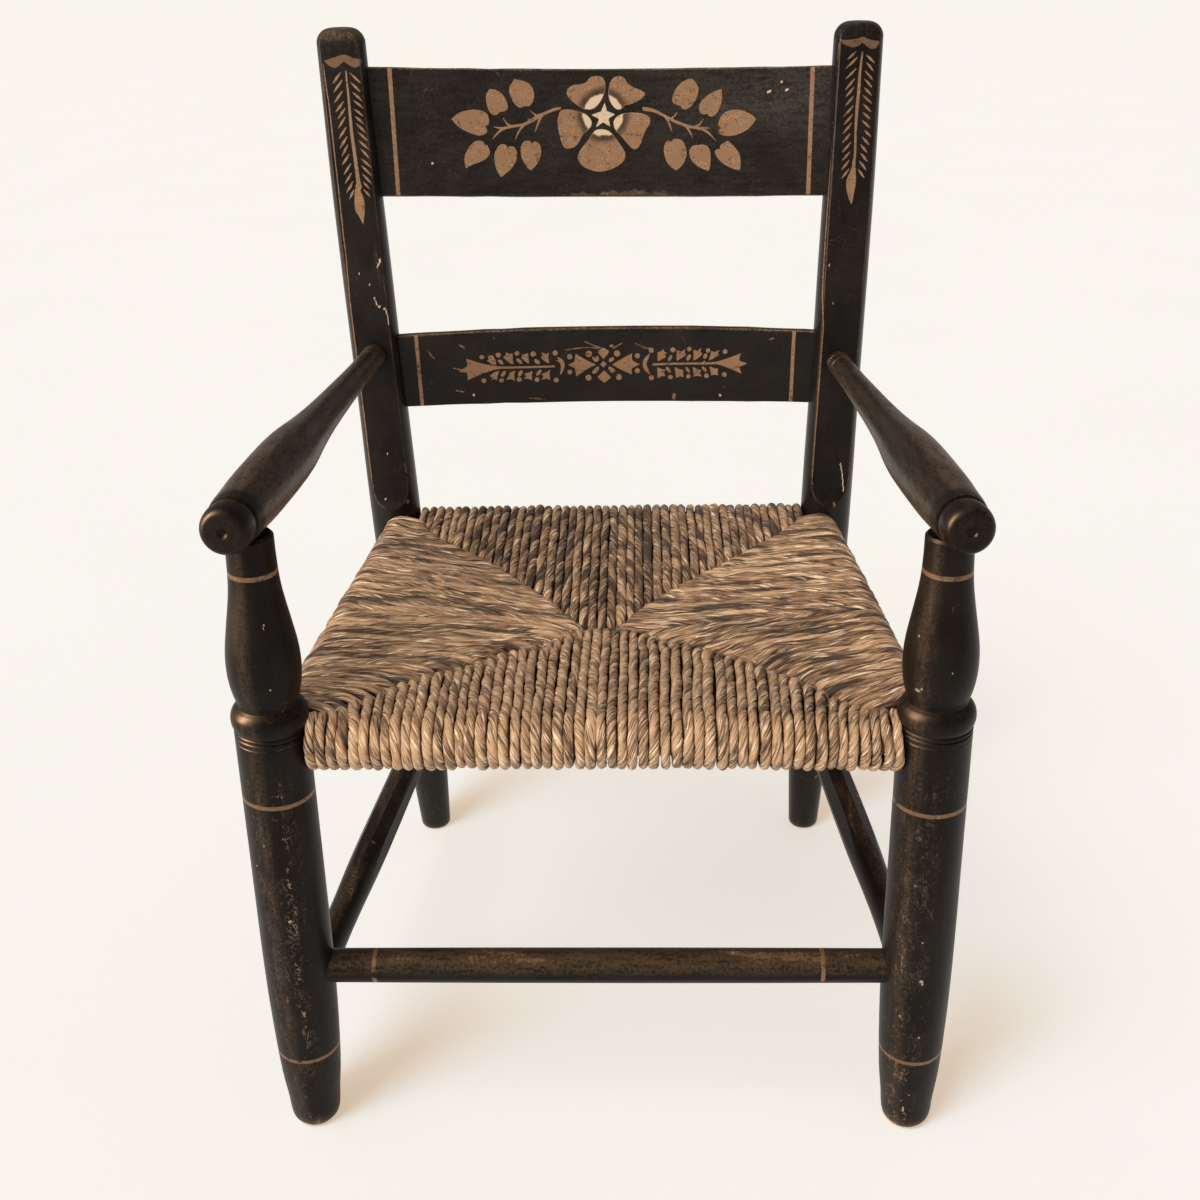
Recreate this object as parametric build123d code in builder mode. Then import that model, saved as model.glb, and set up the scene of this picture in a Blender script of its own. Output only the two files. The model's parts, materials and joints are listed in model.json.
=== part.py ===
from build123d import *
import math
import os

# A small rush-seated armchair with turned legs and arms.
# Millimetres, +X to the sitter's left hand seen from the front (viewer's right), +Y to the back,
# +Z up. The origin is on the floor, under the middle of the chair's bounding box.

# ----------------------------------------------------------------- driving dimensions
Y0 = -186.3               # y of the front leg axes: centres the bounding box on the origin
SEAT_DEPTH = 332.8        # front leg axis to rear post axis, at the seat

LEG_X = 197.0             # front leg axis at the floor
LEG_LEAN = 0.0188         # the front legs lean in by this much per mm of height
LEG_TOP_L = 425.5         # shoulder under the left arm
LEG_TOP_R = 422.5         # shoulder under the right arm
LEG_NECK_R = 13.4
LEG_TENON_R = 7.0
LEG_TENON_H = 13.5

POST_TOP = 648.0
POST_TOP_R = 646.4        # the right post is a little shorter
RACK_FLOOR = 3.0          # the back is racked: both posts stand this far to the right at the floor
RACK_TOP = -4.5           # and this far to the left at the top

ARM_L_FRONT = (-191.2, -30.0, 441.1)    # on the arm axis, y from the front leg axis
ARM_L_REAR = (-176.4, 336.9, 422.4)
ARM_R_FRONT = (190.7, -30.0, 438.4)
ARM_R_REAR = (172.1, 336.0, 413.8)
ARM_TENON_R = 5.5
ARM_TENON_L = 17.0

RAIL_R = 9.5              # seat rails under the rush
RAIL_TENON_R = 7.0
RAIL_STOP = 8.0           # a rail tenon stops this far short of the leg or post axis
SEAT_FRONT_Z = 293.4      # axis of the front rail
SEAT_REAR_Z = 284.6       # axis of the rear rail
SIDE_RAIL_UP = 3.0        # the side rails sit this much above the front and rear ones
SIDE_RAIL_IN = 8.5        # and this much inboard of the leg and post axes
RUSH_R = 17.1             # outside of the rush around the front rail
REAR_RUSH_R = 15.4        # around the rear rail
SIDE_RUSH_R = 13.8        # and around the side rails
RUSH_SAG = 18.0           # the middle of the seat lies this much below the top of the rolls
RUSH_SEAM_Y = 150.0       # where the four panels meet, from the front leg axes
RUSH_LAYER = 6.4          # thickness of one layer of cord
RUSH_CLEAR = 0.3          # rush to leg and post

STRETCHER_R = 10.8
STRETCHER_Z = 126.0
SIDE_STRETCHER_R = 12.4   # corner radius of the shaved octagon
SIDE_STRETCHER_Z_L = 95.0
SIDE_STRETCHER_Z_R = 110.5
REAR_STRETCHER_R = 10.0
REAR_STRETCHER_Z = 150.0
STRETCHER_TENON_R = 8.0
SIDE_TENON_R = 7.4
STRETCHER_STOP = 8.2
REAR_STOP = 3.0

SLAT_T = 8.0              # thickness of both slats
SLAT_BOW = 14.0           # how far the middle of a slat lies behind its ends
SLAT_LET_IN = 9.5         # how far a slat end goes past the inner side of the post
CREST_LOW_Z = 532.4
CREST_H = 90.0
CREST_LEAN = 14.3         # degrees from upright
CREST_TILT = 0.7          # degrees, right end lower
LOWER_LOW_Z = 380.3
LOWER_H = 54.4
LOWER_LEAN = 7.9
LOWER_ARCH = 3.0
PEG_R = 2.2

os.makedirs("parts", exist_ok=True)


# ----------------------------------------------------------------- shared geometry
def leg_x(z):
    """Front leg axis, distance from the middle at a height."""
    return LEG_X - LEG_LEAN * z


# rear post axis: height, x from the middle, y from the front leg axis, radius
POST = [
    (0.0, 161.0, 332.8, 12.2),
    (54.0, 162.4, 332.8, 15.0),
    (108.0, 163.8, 332.8, 16.6),
    (162.0, 165.2, 332.8, 17.8),
    (216.0, 166.7, 332.8, 18.6),
    (270.0, 168.1, 332.9, 19.1),
    (324.0, 169.9, 335.8, 19.1),
    (378.0, 172.4, 343.3, 18.7),
    (432.0, 175.1, 351.3, 18.5),
    (486.0, 177.6, 359.3, 18.5),
    (540.0, 180.3, 368.4, 18.3),
    (594.0, 183.3, 381.2, 17.8),
    (POST_TOP, 186.3, 395.4, 17.5),
]


def post_at(z):
    """x, y and radius of the rear post at a height, by straight interpolation."""
    for a, b in zip(POST, POST[1:]):
        if a[0] <= z <= b[0]:
            t = (z - a[0]) / (b[0] - a[0])
            return tuple(a[i] + t * (b[i] - a[i]) for i in (1, 2, 3))
    return POST[-1][1:]


def rack(z):
    """How far the back leans to the right at a height."""
    return RACK_FLOOR + (RACK_TOP - RACK_FLOOR) * z / POST_TOP


def post_axis(side, z):
    """A point on a rear post axis (side -1 left, 1 right), in the chair's own frame."""
    x, y, r = post_at(z)
    return (side * x + rack(z), y + Y0, z)


def axis_plane(start, end):
    """A plane through an axis: local y runs along it, local x is the radius. Returns it with the axis."""
    a = (Vector(*end) - Vector(*start)).normalized()
    side = Vector(0, 0, 1) if abs(a.Z) < 0.8 else Vector(1, 0, 0)
    n = a.cross(side).normalized()
    e = a.cross(n).normalized()
    return Plane(origin=start, x_dir=e, z_dir=e.cross(a)), Axis(start, (a.X, a.Y, a.Z))


def row(p):
    """A point measured from the front leg axes, in the chair's own frame."""
    return (p[0], p[1] + Y0, p[2])


def leg_profile(top):
    """Half section of a front leg: radius, height along the leg."""
    with BuildLine() as outline:
        Line((0, -2), (11.4, -2))
        Spline((11.4, -2), (12.6, 0.4), (14.6, 3.0), (16.0, 8.0), (16.9, 20), (18.4, 35), (19.5, 50),
               (20.2, 65), (21.0, 88), (21.6, 115), (21.8, 150), (21.6, 200), (21.4, 250), (21.2, 298.0))
        Polyline((21.2, 298.0), (21.2, 298.4), (20.9, 298.8), (21.2, 299.2), (21.2, 301.8), (20.5, 302.5), (21.2, 303.2),
                 (21.2, 304.8), (20.6, 305.4))
        Spline((20.6, 305.4), (21.4, 307.0), (22.3, 311.6), (21.3, 316.4), (19.4, 319.0))
        Line((19.4, 319.0), (17.4, 320.6))
        Line((17.4, 320.6), (17.5, 322.4))
        Spline((17.5, 322.4), (19.2, 328.5), (20.7, 338), (21.0, 346), (20.5, 355), (18.9, 366), (16.3, 381),
               (14.5, 393), (13.7, 404), (13.4, 415), (LEG_NECK_R, top - 1.6))
        Line((LEG_NECK_R, top - 1.6), (LEG_NECK_R - 1.4, top))
        Line((LEG_NECK_R - 1.4, top), (LEG_TENON_R, top))
        Line((LEG_TENON_R, top), (LEG_TENON_R, top + LEG_TENON_H - 1.0))
        Line((LEG_TENON_R, top + LEG_TENON_H - 1.0), (LEG_TENON_R - 1.0, top + LEG_TENON_H))
        Line((LEG_TENON_R - 1.0, top + LEG_TENON_H), (0, top + LEG_TENON_H))
        Line((0, top + LEG_TENON_H), (0, -2))
    make_face(outline.edges())


def arm_profile(length):
    """Half section of an arm: radius, distance from the centre of its button end."""
    with BuildLine() as outline:
        Polyline((0, -5.6), (1.2, -5.6), (2.4, -6.4), (3.0, -7.2), (8.6, -7.2))
        Spline((8.6, -7.2), (10.6, -6.8), (12.7, -4.6), (13.8, 0.0), (13.9, 5.0), (13.4, 8.4))
        Polyline((13.4, 8.4), (12.0, 9.6), (12.2, 10.8), (14.2, 11.4))
        Spline((14.2, 11.4), (14.8, 16), (15.2, 25), (16.1, 45), (16.6, 70), (16.8, 98), (16.1, 130),
               (13.8, 160), (11.9, 190), (10.7, 220), (9.7, 260), (8.8, 300), (8.5, length - 21.0))
        Polyline((8.5, length - 21.0), (7.8, length - 20.2), (8.5, length - 19.4), (8.6, length - 9.0),
                 (7.9, length - 8.2), (8.6, length - 7.4), (8.7, length - 0.6), (8.2, length),
                 (ARM_TENON_R, length), (ARM_TENON_R, length + ARM_TENON_L - 1.0),
                 (ARM_TENON_R - 1.0, length + ARM_TENON_L), (0, length + ARM_TENON_L))
        Line((0, length + ARM_TENON_L), (0, -5.6))
    make_face(outline.edges())


def bar(radius, tenon, length, zone_a, zone_b, swell=0.0):
    """Half section of a round rail or stretcher: radius, distance along it from its middle.

    The ends are plain round tenons for zone_a and zone_b, then the bar grows to its full radius."""
    m = length / 2
    with BuildLine() as outline:
        Polyline((0, -m), (tenon - 0.8, -m), (tenon, -m + 0.8), (tenon, -m + zone_a))
        Spline((tenon, -m + zone_a), (tenon + 0.72 * (radius - tenon), -m + zone_a + 7), (radius, -m + zone_a + 24),
               (radius + swell, 0), (radius, m - zone_b - 24), (tenon + 0.72 * (radius - tenon), m - zone_b - 7),
               (tenon, m - zone_b))
        Polyline((tenon, m - zone_b), (tenon, m - 0.8), (tenon - 0.8, m), (0, m))
        Line((0, m), (0, -m))
    make_face(outline.edges())


def full_bar(radius, tenon, length, zone_a, zone_b, swell=0.0, taper_b=False):
    """Half section of a stretcher that keeps its full radius up to the leg, with a square shoulder let into it.

    With taper_b the second end grows out of its tenon like a bar's."""
    m = length / 2
    with BuildLine() as outline:
        Polyline((0, -m), (tenon - 0.8, -m), (tenon, -m + 0.8), (tenon, -m + zone_a), (radius - 0.8, -m + zone_a),
                 (radius, -m + zone_a + 0.8))
        if taper_b:
            Spline((radius, -m + zone_a + 0.8), (radius + swell, 0), (radius, m - zone_b - 24),
                   (tenon + 0.72 * (radius - tenon), m - zone_b - 7), (tenon, m - zone_b))
        else:
            Spline((radius, -m + zone_a + 0.8), (radius + swell, 0), (radius, m - zone_b - 0.8))
            Polyline((radius, m - zone_b - 0.8), (radius - 0.8, m - zone_b), (tenon, m - zone_b))
        Polyline((tenon, m - zone_b), (tenon, m - 0.8), (tenon - 0.8, m), (0, m))
        Line((0, m), (0, -m))
    make_face(outline.edges())


def mid_frame(start, end, stop_a, stop_b):
    """Plane and axis at the middle of a bar, and its length, given how far short of the two axes it stops."""
    s, e = Vector(*start), Vector(*end)
    d = (e - s).normalized()
    s, e = s + d * stop_a, e - d * stop_b
    m = (s + e) * 0.5
    pl, ax = axis_plane((m.X, m.Y, m.Z), (e.X, e.Y, e.Z))
    return pl, ax, (e - s).length


LEG_R_SEAT, LEG_R_STR = 21.3, 21.7      # leg radius at the rails and at the stretchers
POST_R_SEAT, POST_R_STR = 19.3, 17.6    # post radius at the same places
OUT = 1.6                               # a tenon leaves the leg this far before the bar grows
LET_F, LET_S = 3.4, 4.2                 # the stretchers' shoulders are let into the front legs this deep

front_z, rear_z = SEAT_FRONT_Z, SEAT_REAR_Z
sf_z, sr_z = front_z + SIDE_RAIL_UP, rear_z + SIDE_RAIL_UP
front_rail_ends = (row((-leg_x(front_z), 0, front_z)), row((leg_x(front_z), 0, front_z)))
rear_rail_ends = (post_axis(-1, rear_z), post_axis(1, rear_z))
left_rail_ends = (row((-leg_x(sf_z) + SIDE_RAIL_IN, 0, sf_z)),
                  row((-post_at(sr_z)[0] + rack(sr_z) + SIDE_RAIL_IN, SEAT_DEPTH, sr_z)))
right_rail_ends = (row((leg_x(sf_z) - SIDE_RAIL_IN, 0, sf_z)),
                   row((post_at(sr_z)[0] + rack(sr_z) - SIDE_RAIL_IN, SEAT_DEPTH, sr_z)))
front_str_ends = (row((-leg_x(STRETCHER_Z), 0, STRETCHER_Z)), row((leg_x(STRETCHER_Z), 0, STRETCHER_Z)))
rear_str_ends = (post_axis(-1, REAR_STRETCHER_Z), post_axis(1, REAR_STRETCHER_Z))
left_str_ends = (row((-leg_x(SIDE_STRETCHER_Z_L), 0, SIDE_STRETCHER_Z_L)), post_axis(-1, SIDE_STRETCHER_Z_L))
right_str_ends = (row((leg_x(SIDE_STRETCHER_Z_R), 0, SIDE_STRETCHER_Z_R)), post_axis(1, SIDE_STRETCHER_Z_R))

# ----------------------------------------------------------------- seat rails
pl, ax, length = mid_frame(*front_rail_ends, RAIL_STOP, RAIL_STOP)
with BuildPart() as seat_rail_front:
    with BuildSketch(pl):
        bar(RAIL_R, RAIL_TENON_R, length, LEG_R_SEAT - RAIL_STOP + OUT, LEG_R_SEAT - RAIL_STOP + OUT)
    revolve(axis=ax)

pl, ax, length = mid_frame(*rear_rail_ends, RAIL_STOP, RAIL_STOP)
with BuildPart() as seat_rail_rear:
    with BuildSketch(pl):
        bar(RAIL_R, RAIL_TENON_R, length, POST_R_SEAT - RAIL_STOP + OUT, POST_R_SEAT - RAIL_STOP + OUT)
    revolve(axis=ax)

pl, ax, length = mid_frame(*left_rail_ends, RAIL_STOP, RAIL_STOP)
with BuildPart() as seat_rail_left:
    with BuildSketch(pl):
        bar(RAIL_R, RAIL_TENON_R, length, LEG_R_SEAT - RAIL_STOP + OUT, POST_R_SEAT - RAIL_STOP + OUT)
    revolve(axis=ax)

pl, ax, length = mid_frame(*right_rail_ends, RAIL_STOP, RAIL_STOP)
with BuildPart() as seat_rail_right:
    with BuildSketch(pl):
        bar(RAIL_R, RAIL_TENON_R, length, LEG_R_SEAT - RAIL_STOP + OUT, POST_R_SEAT - RAIL_STOP + OUT)
    revolve(axis=ax)

# ----------------------------------------------------------------- stretchers
pl, ax, length = mid_frame(*front_str_ends, STRETCHER_STOP, STRETCHER_STOP)
with BuildPart() as front_stretcher:
    with BuildSketch(pl):
        full_bar(STRETCHER_R - 0.2, STRETCHER_TENON_R, length, LEG_R_STR - STRETCHER_STOP - LET_F,
                 LEG_R_STR - STRETCHER_STOP - LET_F, swell=0.4)
    revolve(axis=ax)

pl, ax, length = mid_frame(*rear_str_ends, REAR_STOP, REAR_STOP)
with BuildPart() as rear_stretcher:
    with BuildSketch(pl):
        bar(REAR_STRETCHER_R, STRETCHER_TENON_R, length, POST_R_STR - REAR_STOP + OUT, POST_R_STR - REAR_STOP + OUT)
    revolve(axis=ax)


def shaved(plane, length):
    """Keeps what lies inside an eight-sided bar: the drawknife facets of a side stretcher."""
    across = Plane(origin=plane.origin, x_dir=plane.x_dir, z_dir=plane.y_dir)
    with BuildSketch(across) as eight:
        RegularPolygon(SIDE_STRETCHER_R - 0.9, 8, major_radius=False, rotation=10)
    extrude(eight.sketch, amount=length / 2 + 1, both=True, mode=Mode.INTERSECT)


pl, ax, length = mid_frame(*left_str_ends, STRETCHER_STOP, REAR_STOP)
with BuildPart() as side_stretcher_left:
    with BuildSketch(pl):
        full_bar(SIDE_STRETCHER_R, SIDE_TENON_R, length, LEG_R_STR - STRETCHER_STOP - LET_S,
                 POST_R_STR - REAR_STOP + OUT, taper_b=True)
    revolve(axis=ax)
    shaved(pl, length)

pl, ax, length = mid_frame(*right_str_ends, STRETCHER_STOP, REAR_STOP)
with BuildPart() as side_stretcher_right:
    with BuildSketch(pl):
        full_bar(SIDE_STRETCHER_R, SIDE_TENON_R, length, LEG_R_STR - STRETCHER_STOP - LET_S,
                 POST_R_STR - REAR_STOP + OUT, taper_b=True)
    revolve(axis=ax)
    shaved(pl, length)


# ----------------------------------------------------------------- slats
def slat_plane(low_z, lean, tilt):
    """The plane of a slat's lower end: z_dir runs up the slat, local y points back."""
    a, t = math.radians(lean), math.radians(tilt)
    return Plane(origin=(rack(low_z), post_at(low_z)[1] + Y0, low_z), x_dir=(math.cos(t), 0, -math.sin(t)),
                 z_dir=(math.sin(t) * math.cos(a), math.sin(a), math.cos(t) * math.cos(a)))


def slat_band(half, bow):
    """Curved band in plan: the ends lie on the post axes, the middle lies further back."""
    h = SLAT_T / 2
    r_mid = (half ** 2 + bow ** 2) / (2 * bow)
    ang = math.degrees(math.asin(half / r_mid))
    cx = bow - r_mid
    with BuildLine() as outline:
        i = CenterArc((0, cx), r_mid - h, 90 - ang, 2 * ang)
        o = CenterArc((0, cx), r_mid + h, 90 - ang, 2 * ang)
        Line(i @ 0, o @ 0)
        Line(i @ 1, o @ 1)
    make_face(outline.edges())


crest_half = post_at(CREST_LOW_Z + 40)[0] - 17.9 + SLAT_LET_IN
lower_half = post_at(LOWER_LOW_Z + 25)[0] - 18.6 + SLAT_LET_IN
crest_plane = slat_plane(CREST_LOW_Z, CREST_LEAN, CREST_TILT)
lower_plane = slat_plane(LOWER_LOW_Z, LOWER_LEAN, 0)

with BuildPart() as crest_slat:
    with BuildSketch(crest_plane):
        slat_band(crest_half, SLAT_BOW)
    extrude(amount=CREST_H)
    fillet(crest_slat.faces().sort_by(Axis(crest_plane.origin, crest_plane.z_dir))[-1].edges().filter_by(
        lambda e: e.length > 100), radius=2.2)
    fillet(crest_slat.faces().sort_by(Axis(crest_plane.origin, crest_plane.z_dir))[0].edges().filter_by(
        lambda e: e.length > 100), radius=1.8)

with BuildPart() as lower_slat:
    with BuildSketch(lower_plane):
        slat_band(lower_half, SLAT_BOW)
    extrude(amount=LOWER_H + LOWER_ARCH)
    # the top edge is a shallow arch, level at the ends
    with BuildSketch(Plane(origin=lower_plane.origin, x_dir=(1, 0, 0), z_dir=lower_plane.y_dir)) as top_cut:
        with BuildLine():
            arch = ThreePointArc((-lower_half - 2, -LOWER_H), (0, -LOWER_H - LOWER_ARCH), (lower_half + 2, -LOWER_H))
            Polyline(arch @ 0, (-lower_half - 2, -LOWER_H - 12), (lower_half + 2, -LOWER_H - 12), arch @ 1)
        make_face()
    extrude(amount=40, both=True, mode=Mode.SUBTRACT)
    fillet(lower_slat.faces().sort_by(Axis(lower_plane.origin, lower_plane.z_dir))[-1].edges().filter_by(
        lambda e: e.length > 100), radius=2.6)

# ----------------------------------------------------------------- front legs
# each leg leans in a little, and its foot is cut off level with the floor
pl, ax = axis_plane(row((-leg_x(0), 0, 0)), row((-leg_x(500), 0, 500)))
with BuildPart() as front_leg_left:
    with BuildSketch(pl):
        leg_profile(LEG_TOP_L)
    revolve(axis=ax)
    with BuildSketch(Plane.XY):
        Rectangle(800, 800)
    extrude(amount=-10, mode=Mode.SUBTRACT)
    for rail in (seat_rail_front, seat_rail_left, front_stretcher, side_stretcher_left):
        add(rail.part, mode=Mode.SUBTRACT)

pl, ax = axis_plane(row((leg_x(0), 0, 0)), row((leg_x(500), 0, 500)))
with BuildPart() as front_leg_right:
    with BuildSketch(pl):
        leg_profile(LEG_TOP_R)
    revolve(axis=ax)
    with BuildSketch(Plane.XY):
        Rectangle(800, 800)
    extrude(amount=-10, mode=Mode.SUBTRACT)
    for rail in (seat_rail_front, seat_rail_right, front_stretcher, side_stretcher_right):
        add(rail.part, mode=Mode.SUBTRACT)

# ----------------------------------------------------------------- arms
# each arm is bored from below for the leg's tenon and cut flat where it sits on the shoulder
arm_l_a, arm_l_b = row(ARM_L_FRONT), row(ARM_L_REAR)
pl, ax = axis_plane(arm_l_a, arm_l_b)
with BuildPart() as arm_left:
    with BuildSketch(pl):
        arm_profile((Vector(*arm_l_b) - Vector(*arm_l_a)).length)
    revolve(axis=ax)
    add(front_leg_left.part, mode=Mode.SUBTRACT)

arm_r_a, arm_r_b = row(ARM_R_FRONT), row(ARM_R_REAR)
pl, ax = axis_plane(arm_r_a, arm_r_b)
with BuildPart() as arm_right:
    with BuildSketch(pl):
        arm_profile((Vector(*arm_r_b) - Vector(*arm_r_a)).length)
    revolve(axis=ax)
    add(front_leg_right.part, mode=Mode.SUBTRACT)


# ----------------------------------------------------------------- pegs through the posts and the crest slat
def peg(side):
    """A round pin driven from behind through the post's back wall and the slat's end."""
    z = CREST_LOW_Z + 46
    x, y, r = post_at(z)
    a = math.radians(CREST_LEAN)
    back = Vector(0, math.cos(a), -math.sin(a))
    mid = Vector(side * (crest_half - 5.5) + rack(z), y + Y0, z)
    return Plane(origin=mid - back * 9.0, z_dir=back), 9.0 + r - 1.2


with BuildPart() as crest_slat_pegs:
    for side in (-1, 1):
        pl, reach = peg(side)
        with BuildSketch(pl):
            Circle(PEG_R)
        extrude(amount=reach)

# the slat is bored for them
with BuildPart() as crest_slat_bored:
    add(crest_slat.part)
    add(crest_slat_pegs.part, mode=Mode.SUBTRACT)

# ----------------------------------------------------------------- rear posts
# planed face: height, how far the flat lies in front of the post axis
FACE = [(300, 21.0), (306, 18.9), (311, 15.9), (318, 13.4), (330, 12.4), (360, 12.2), (420, 12.2), (480, 12.0),
        (530, 11.6), (590, 10.8), (660, 10.2)]


def post_body(side):
    """Round tapered body of a post through its sections, with its top rounded over."""
    sections = []
    for z, x, y, r in POST:      # evenly spaced, so the surface runs through them without waves
        if side > 0 and z == POST_TOP:
            z = POST_TOP_R
        with BuildSketch(Plane(origin=(side * x + rack(z), y + Y0, z), x_dir=(1, 0, 0), z_dir=(0, 0, 1))) as section:
            Circle(r)
        sections.append(section.sketch.face())
    loft(sections)


def planed_face(side):
    """Takes off everything in front of the planed face, above the seat."""
    with BuildSketch(Plane(origin=(side * 176, 0, 0), x_dir=(0, 1, 0), z_dir=(1, 0, 0))) as front:
        with BuildLine():
            pts = [(post_at(min(z, POST_TOP))[1] + Y0 - d + (0.24 * (z - POST_TOP) if z > POST_TOP else 0), z)
                   for z, d in FACE]
            face = Spline(*pts)
            Polyline(face @ 1, (pts[-1][0] - 90, pts[-1][1]), (pts[0][0] - 90, pts[0][1]), face @ 0)
        make_face()
    extrude(front.sketch, amount=40, both=True, mode=Mode.SUBTRACT)


with BuildPart() as rear_post_left:
    post_body(-1)
    fillet(rear_post_left.faces().sort_by(Axis.Z)[-1].edges(), radius=10.5)
    fillet(rear_post_left.faces().sort_by(Axis.Z)[0].edges(), radius=3)
    planed_face(-1)
    for other in (seat_rail_rear, seat_rail_left, rear_stretcher, side_stretcher_left, crest_slat, lower_slat,
                  arm_left, crest_slat_pegs):
        add(other.part, mode=Mode.SUBTRACT)

with BuildPart() as rear_post_right:
    post_body(1)
    fillet(rear_post_right.faces().sort_by(Axis.Z)[-1].edges(), radius=10.5)
    fillet(rear_post_right.faces().sort_by(Axis.Z)[0].edges(), radius=3)
    planed_face(1)
    for other in (seat_rail_rear, seat_rail_right, rear_stretcher, side_stretcher_right, crest_slat, lower_slat,
                  arm_right, crest_slat_pegs):
        add(other.part, mode=Mode.SUBTRACT)

# ----------------------------------------------------------------- stuffing and rush
tilt = (SEAT_REAR_Z + REAR_RUSH_R - SEAT_FRONT_Z - RUSH_R) / SEAT_DEPTH
seat_top = Plane(origin=(0, Y0, SEAT_FRONT_Z + RUSH_R), x_dir=(1, 0, 0), z_dir=(0, -tilt, 1))
seat_quad = [(left_rail_ends[0][0], 0), (right_rail_ends[0][0], 0), (right_rail_ends[1][0], SEAT_DEPTH),
             (left_rail_ends[1][0], SEAT_DEPTH)]
seam = [(-34, RUSH_SEAM_Y - 6), (34, RUSH_SEAM_Y - 6), (34, RUSH_SEAM_Y + 6), (-34, RUSH_SEAM_Y + 6)]


def wedge(outer, inner):
    """A stuffing pad: a wedge from its thick side at the rail to its thin side near the middle."""
    sections = []
    for plane, w, h in (outer, inner):
        with BuildSketch(plane) as section:
            Rectangle(w, h)
        sections.append(section.sketch.face())
    loft(sections, ruled=True)


def up(depth_y, below):
    """Height of a point that lies below the top plane of the rolls."""
    return SEAT_FRONT_Z + RUSH_R + tilt * depth_y - below


with BuildPart() as seat_stuffing:
    wedge((Plane(origin=(0, 5 + Y0, up(5, 15.4)), x_dir=(1, 0, 0), z_dir=(0, 1, 0)), 268, 15.0),
          (Plane(origin=(0, 100 + Y0, up(100, 20.6)), x_dir=(1, 0, 0), z_dir=(0, 1, 0)), 84, 3.2))
    wedge((Plane(origin=(0, SEAT_DEPTH - 5 + Y0, up(SEAT_DEPTH - 5, 15.4)), x_dir=(1, 0, 0), z_dir=(0, -1, 0)), 224, 15.0),
          (Plane(origin=(0, 208 + Y0, up(208, 20.6)), x_dir=(1, 0, 0), z_dir=(0, -1, 0)), 84, 3.2))
    for side in (-1, 1):
        wedge((Plane(origin=(side * 168, 158 + Y0, up(158, 13.6)), x_dir=(0, 1, 0), z_dir=(-side, 0, 0)), 190, 13.0),
              (Plane(origin=(side * 82, 152 + Y0, up(152, 20.8)), x_dir=(0, 1, 0), z_dir=(-side, 0, 0)), 50, 3.0))
    for rail in (seat_rail_front, seat_rail_rear, seat_rail_left, seat_rail_right):
        add(rail.part, mode=Mode.SUBTRACT)

with BuildPart() as rush_seat:
    # the flat of the seat
    with BuildSketch(seat_top):
        with BuildLine():
            Polyline(*seat_quad, seat_quad[0])
        make_face()
    extrude(amount=-2 * REAR_RUSH_R)
    # four panels fall towards the seam
    for plane_off, quad in ((0.0, seat_quad), (-RUSH_SAG, seam)):
        with BuildSketch(seat_top.offset(plane_off)):
            with BuildLine():
                Polyline(*quad, quad[0])
            make_face()
    loft(ruled=True, mode=Mode.SUBTRACT)
    # a roll over each rail
    for ends, radius in ((front_rail_ends, RUSH_R), (rear_rail_ends, REAR_RUSH_R), (left_rail_ends, SIDE_RUSH_R),
                         (right_rail_ends, SIDE_RUSH_R)):
        a, b = Vector(*ends[0]), Vector(*ends[1])
        with BuildSketch(Plane(origin=a, z_dir=b - a)):
            Circle(radius)
        extrude(amount=(b - a).length)
    # clear of the legs and posts
    for side in (-1, 1):
        with BuildSketch(Plane(origin=row((side * leg_x(260), 0, 260)), z_dir=(-side * LEG_LEAN, 0, 1))):
            Circle(22.3 + RUSH_CLEAR)
        extrude(amount=80, mode=Mode.SUBTRACT)
        with BuildSketch(Plane(origin=post_axis(side, 250), z_dir=(side * 0.028 - 0.012, 0, 1))):
            Circle(19.9 + RUSH_CLEAR)
        extrude(amount=90, mode=Mode.SUBTRACT)
    for inner in (seat_rail_front, seat_rail_rear, seat_rail_left, seat_rail_right, seat_stuffing):
        add(inner.part, mode=Mode.SUBTRACT)

# ----------------------------------------------------------------- labels and files
front_leg_left.part.label = "front_leg_left"
front_leg_right.part.label = "front_leg_right"
rear_post_left.part.label = "rear_post_left"
rear_post_right.part.label = "rear_post_right"
crest_slat_bored.part.label = "crest_slat"
lower_slat.part.label = "lower_slat"
arm_left.part.label = "arm_left"
arm_right.part.label = "arm_right"
front_stretcher.part.label = "front_stretcher"
rear_stretcher.part.label = "rear_stretcher"
side_stretcher_left.part.label = "side_stretcher_left"
side_stretcher_right.part.label = "side_stretcher_right"
seat_rail_front.part.label = "seat_rail_front"
seat_rail_rear.part.label = "seat_rail_rear"
seat_rail_left.part.label = "seat_rail_left"
seat_rail_right.part.label = "seat_rail_right"
rush_seat.part.label = "rush_seat"
seat_stuffing.part.label = "seat_stuffing"
crest_slat_pegs.part.label = "crest_slat_pegs"

export_step(front_leg_left.part, "parts/front_leg_left.step")
export_step(front_leg_right.part, "parts/front_leg_right.step")
export_step(rear_post_left.part, "parts/rear_post_left.step")
export_step(rear_post_right.part, "parts/rear_post_right.step")
export_step(crest_slat_bored.part, "parts/crest_slat.step")
export_step(lower_slat.part, "parts/lower_slat.step")
export_step(arm_left.part, "parts/arm_left.step")
export_step(arm_right.part, "parts/arm_right.step")
export_step(front_stretcher.part, "parts/front_stretcher.step")
export_step(rear_stretcher.part, "parts/rear_stretcher.step")
export_step(side_stretcher_left.part, "parts/side_stretcher_left.step")
export_step(side_stretcher_right.part, "parts/side_stretcher_right.step")
export_step(seat_rail_front.part, "parts/seat_rail_front.step")
export_step(seat_rail_rear.part, "parts/seat_rail_rear.step")
export_step(seat_rail_left.part, "parts/seat_rail_left.step")
export_step(seat_rail_right.part, "parts/seat_rail_right.step")
export_step(rush_seat.part, "parts/rush_seat.step")
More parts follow.
